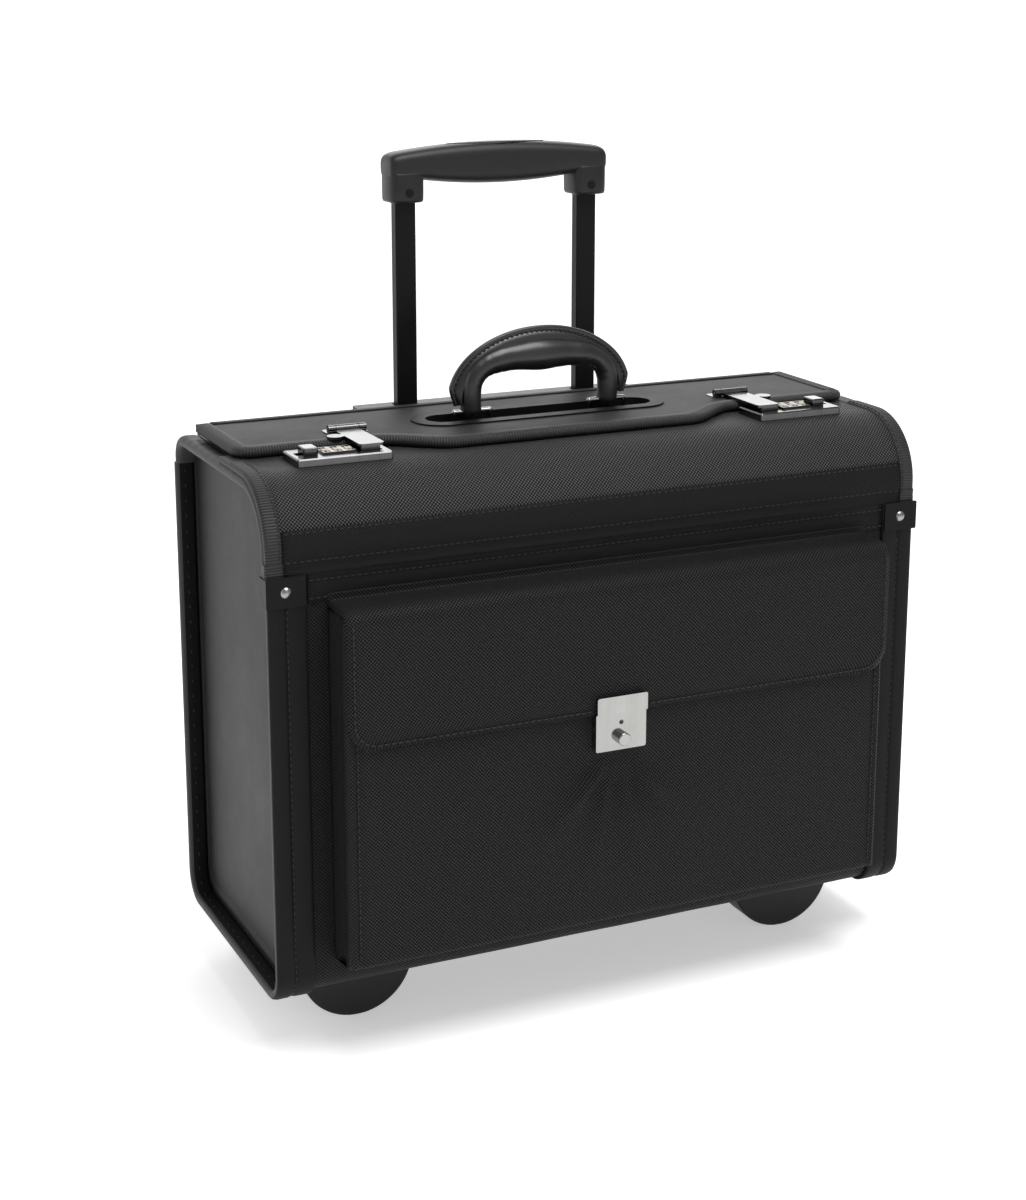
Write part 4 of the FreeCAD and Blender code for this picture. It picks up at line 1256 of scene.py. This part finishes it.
def makeGrip():
    values = gripValues
    ends = {side * (values["half"] - inset) for inset in (0.4, 1, 2) for side in (-1, 1)}
    xs = sorted(set(spread(-values["half"], values["half"], 113)) | ends)
    around = [2 * math.pi * part / 96 for part in range(96)]
    rows = []
    for x in xs:
        row = []
        for turn in around:
            y, z = gripSkin(x, turn)
            if turn < math.pi and inLens(x, y, 0.5):
                z -= values["pocket"]
            row.append(at(x, values["y"] + y, z))
        rows.append(row)
    bar = fixNormals(patch("grip_bar", rows, "grip", ringed=True, capped=True, sharp=38))
    stands(bar, "pull_handle_upper", "black_plastic", "grip_upper", "grip_lower")
    low, high = values["socketLow"], values["socketHigh"]
    # (height, how far the outline is drawn in) up a socket
    levels = ((low, 1.6), (low + 0.5, 0.6), (low + 2, 0.1), (low + 8, 0.0), (high - 2.4, 0.0), (high - 1, 0.3),
              (high, 1.2))
    corner = values["socketRound"]
    for side in (-1, 1):
        rows = []
        for z, inset in levels:
            inner, outer = values["socketIn"] + inset, values["socketOut"] - inset
            deep = values["socketDeep"] - inset
            outline = roundedPath([(71, -deep, 0), (outer, -deep, corner), (outer, deep, corner),
                                   (inner, deep, corner), (inner, -deep, corner), (71, -deep, 0)], 40)[:-1]
            rows.append([at(side * point.x, values["y"] + point.y, z) for point in outline])
        name = sided("grip_socket", side)
        socket = fixNormals(patch(name, rows, "grip", ringed=True, capped=True, sharp=50))
        stands(socket, "pull_handle_upper", "black_plastic")


def makeReleaseButton():
    values = gripValues
    rows = []
    for part in spread(-1, 1, 61):
        x = part * (values["lensX"] - 0.3)
        half = (values["lensY"] - 0.3) * max(1 - (x / values["lensX"]) ** 2, 0.0004) ** 0.8
        row = []
        for share in spread(-1, 1, 17):
            y = half * share
            tall = (gripTop(x) - gripLow(x)) / 2
            skin = (gripTop(x) + gripLow(x)) / 2 + tall * (1 - (abs(y) / values["deep"]) ** 3.2) ** (1 / 3.2)
            row.append(at(x, values["y"] + y, skin + 0.45 - 0.9 * abs(share) ** 6))
        rows.append(row)
    button = patch("release_button_cap", rows, "button", sharp=60)
    thicken(fixNormals(button), 4.2 * mm, even=False)
    stands(button, "release", "button_plastic", "release_button")


makeGrip()
makeReleaseButton()
print("grip made")


dialValues = {"radius": 6.62, "size": 3.1, "raise": 0.04}


def makeNumerals():
    for side in ("left", "right"):
        for count in (1, 2, 3):
            dial = f"dial_{side}_{count}"
            low, high = (Vector(corner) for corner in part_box(dial))
            centre = (low + high) / 2
            verts, faces = [], []
            for digit in range(10):
                curve = bpy.data.curves.new("numeral", "FONT")
                curve.body = str((digit + count * 3) % 10)
                curve.size = dialValues["size"] * mm
                curve.align_x = "CENTER"
                curve.align_y = "CENTER"
                holder = bpy.data.objects.new("numeral", curve)
                flat = bpy.data.meshes.new_from_object(holder)
                turn = math.radians(36 * digit)
                base = len(verts)
                for vert in flat.vertices:
                    # x of the numeral runs along the axle and y of it round the rim
                    reach = (dialValues["radius"] + dialValues["raise"]) * mm
                    angle = turn + vert.co.y / reach
                    verts.append(centre + Vector((vert.co.x, math.sin(angle) * reach, math.cos(angle) * reach)))
                faces += [tuple(base + place for place in face.vertices) for face in flat.polygons]
                bpy.data.objects.remove(holder)
                bpy.data.curves.remove(curve)
                bpy.data.meshes.remove(flat)
            numerals = newMesh(f"numerals_{side}_{count}", verts, faces, "button", smooth=False)
            thicken(numerals, 0.06 * mm, 0, even=False)
            stands(numerals, dial, "dial_plastic")


makeNumerals()
print("numerals made")


# CAD nodes that keep their shape and only get a finish and soft edges
hardware = {
    "plated": ["handle_rings", "tuck_lock_body", "tuck_lock_plate", "tuck_lock_button"],
    "lock": ["lock_body_left", "lock_body_right", "hasp_left", "hasp_right", "hasp_bases"],
    "slider": ["lock_button_left", "lock_button_right"],
    "brushed": ["clip_rivets", "dial_shafts", "hasp_pins", "release_spring", "release_slider", "wheel_axles"],
    "painted": ["corner_clips", "grip_screws", "trolley_foot_bracket"],
    "anodised": ["trolley_outer_tubes", "trolley_middle_tubes", "trolley_upper_tubes"],
    "grip": ["trolley_bezel"],
    "tray": ["handle_recess_tray"],
    "foot": ["feet", "wheel_housings", "wheel_hub_left", "wheel_hub_right"],
    "tyre": ["wheel_tyre_left", "wheel_tyre_right"],
    "lining": ["document_divider", "trolley_lining_panel"],
    "flap": ["rear_top_rail"],
    "dial": [f"dial_{side}_{count}" for side in ("left", "right") for count in (1, 2, 3)],
}
# how far the edges of each finish are rounded, in mm
edgeRounding = {"plated": 0.35, "lock": 0.35, "slider": 0.5, "painted": 0.3, "grip": 0.4, "foot": 0.5, "tray": 0.4,
                "flap": 0.8, "tyre": 0.6}


def finishHardware():
    for finish, names in hardware.items():
        for name in names:
            piece = nodes[name]
            if not piece.material_slots:
                piece.data.materials.append(finishes[finish])
            for holder in piece.material_slots:
                holder.link = "OBJECT"
                holder.material = finishes[finish]
            if finish in edgeRounding:
                softenEdges(piece, edgeRounding[finish] * mm, 2, 42)


finishHardware()
print("hardware finished")
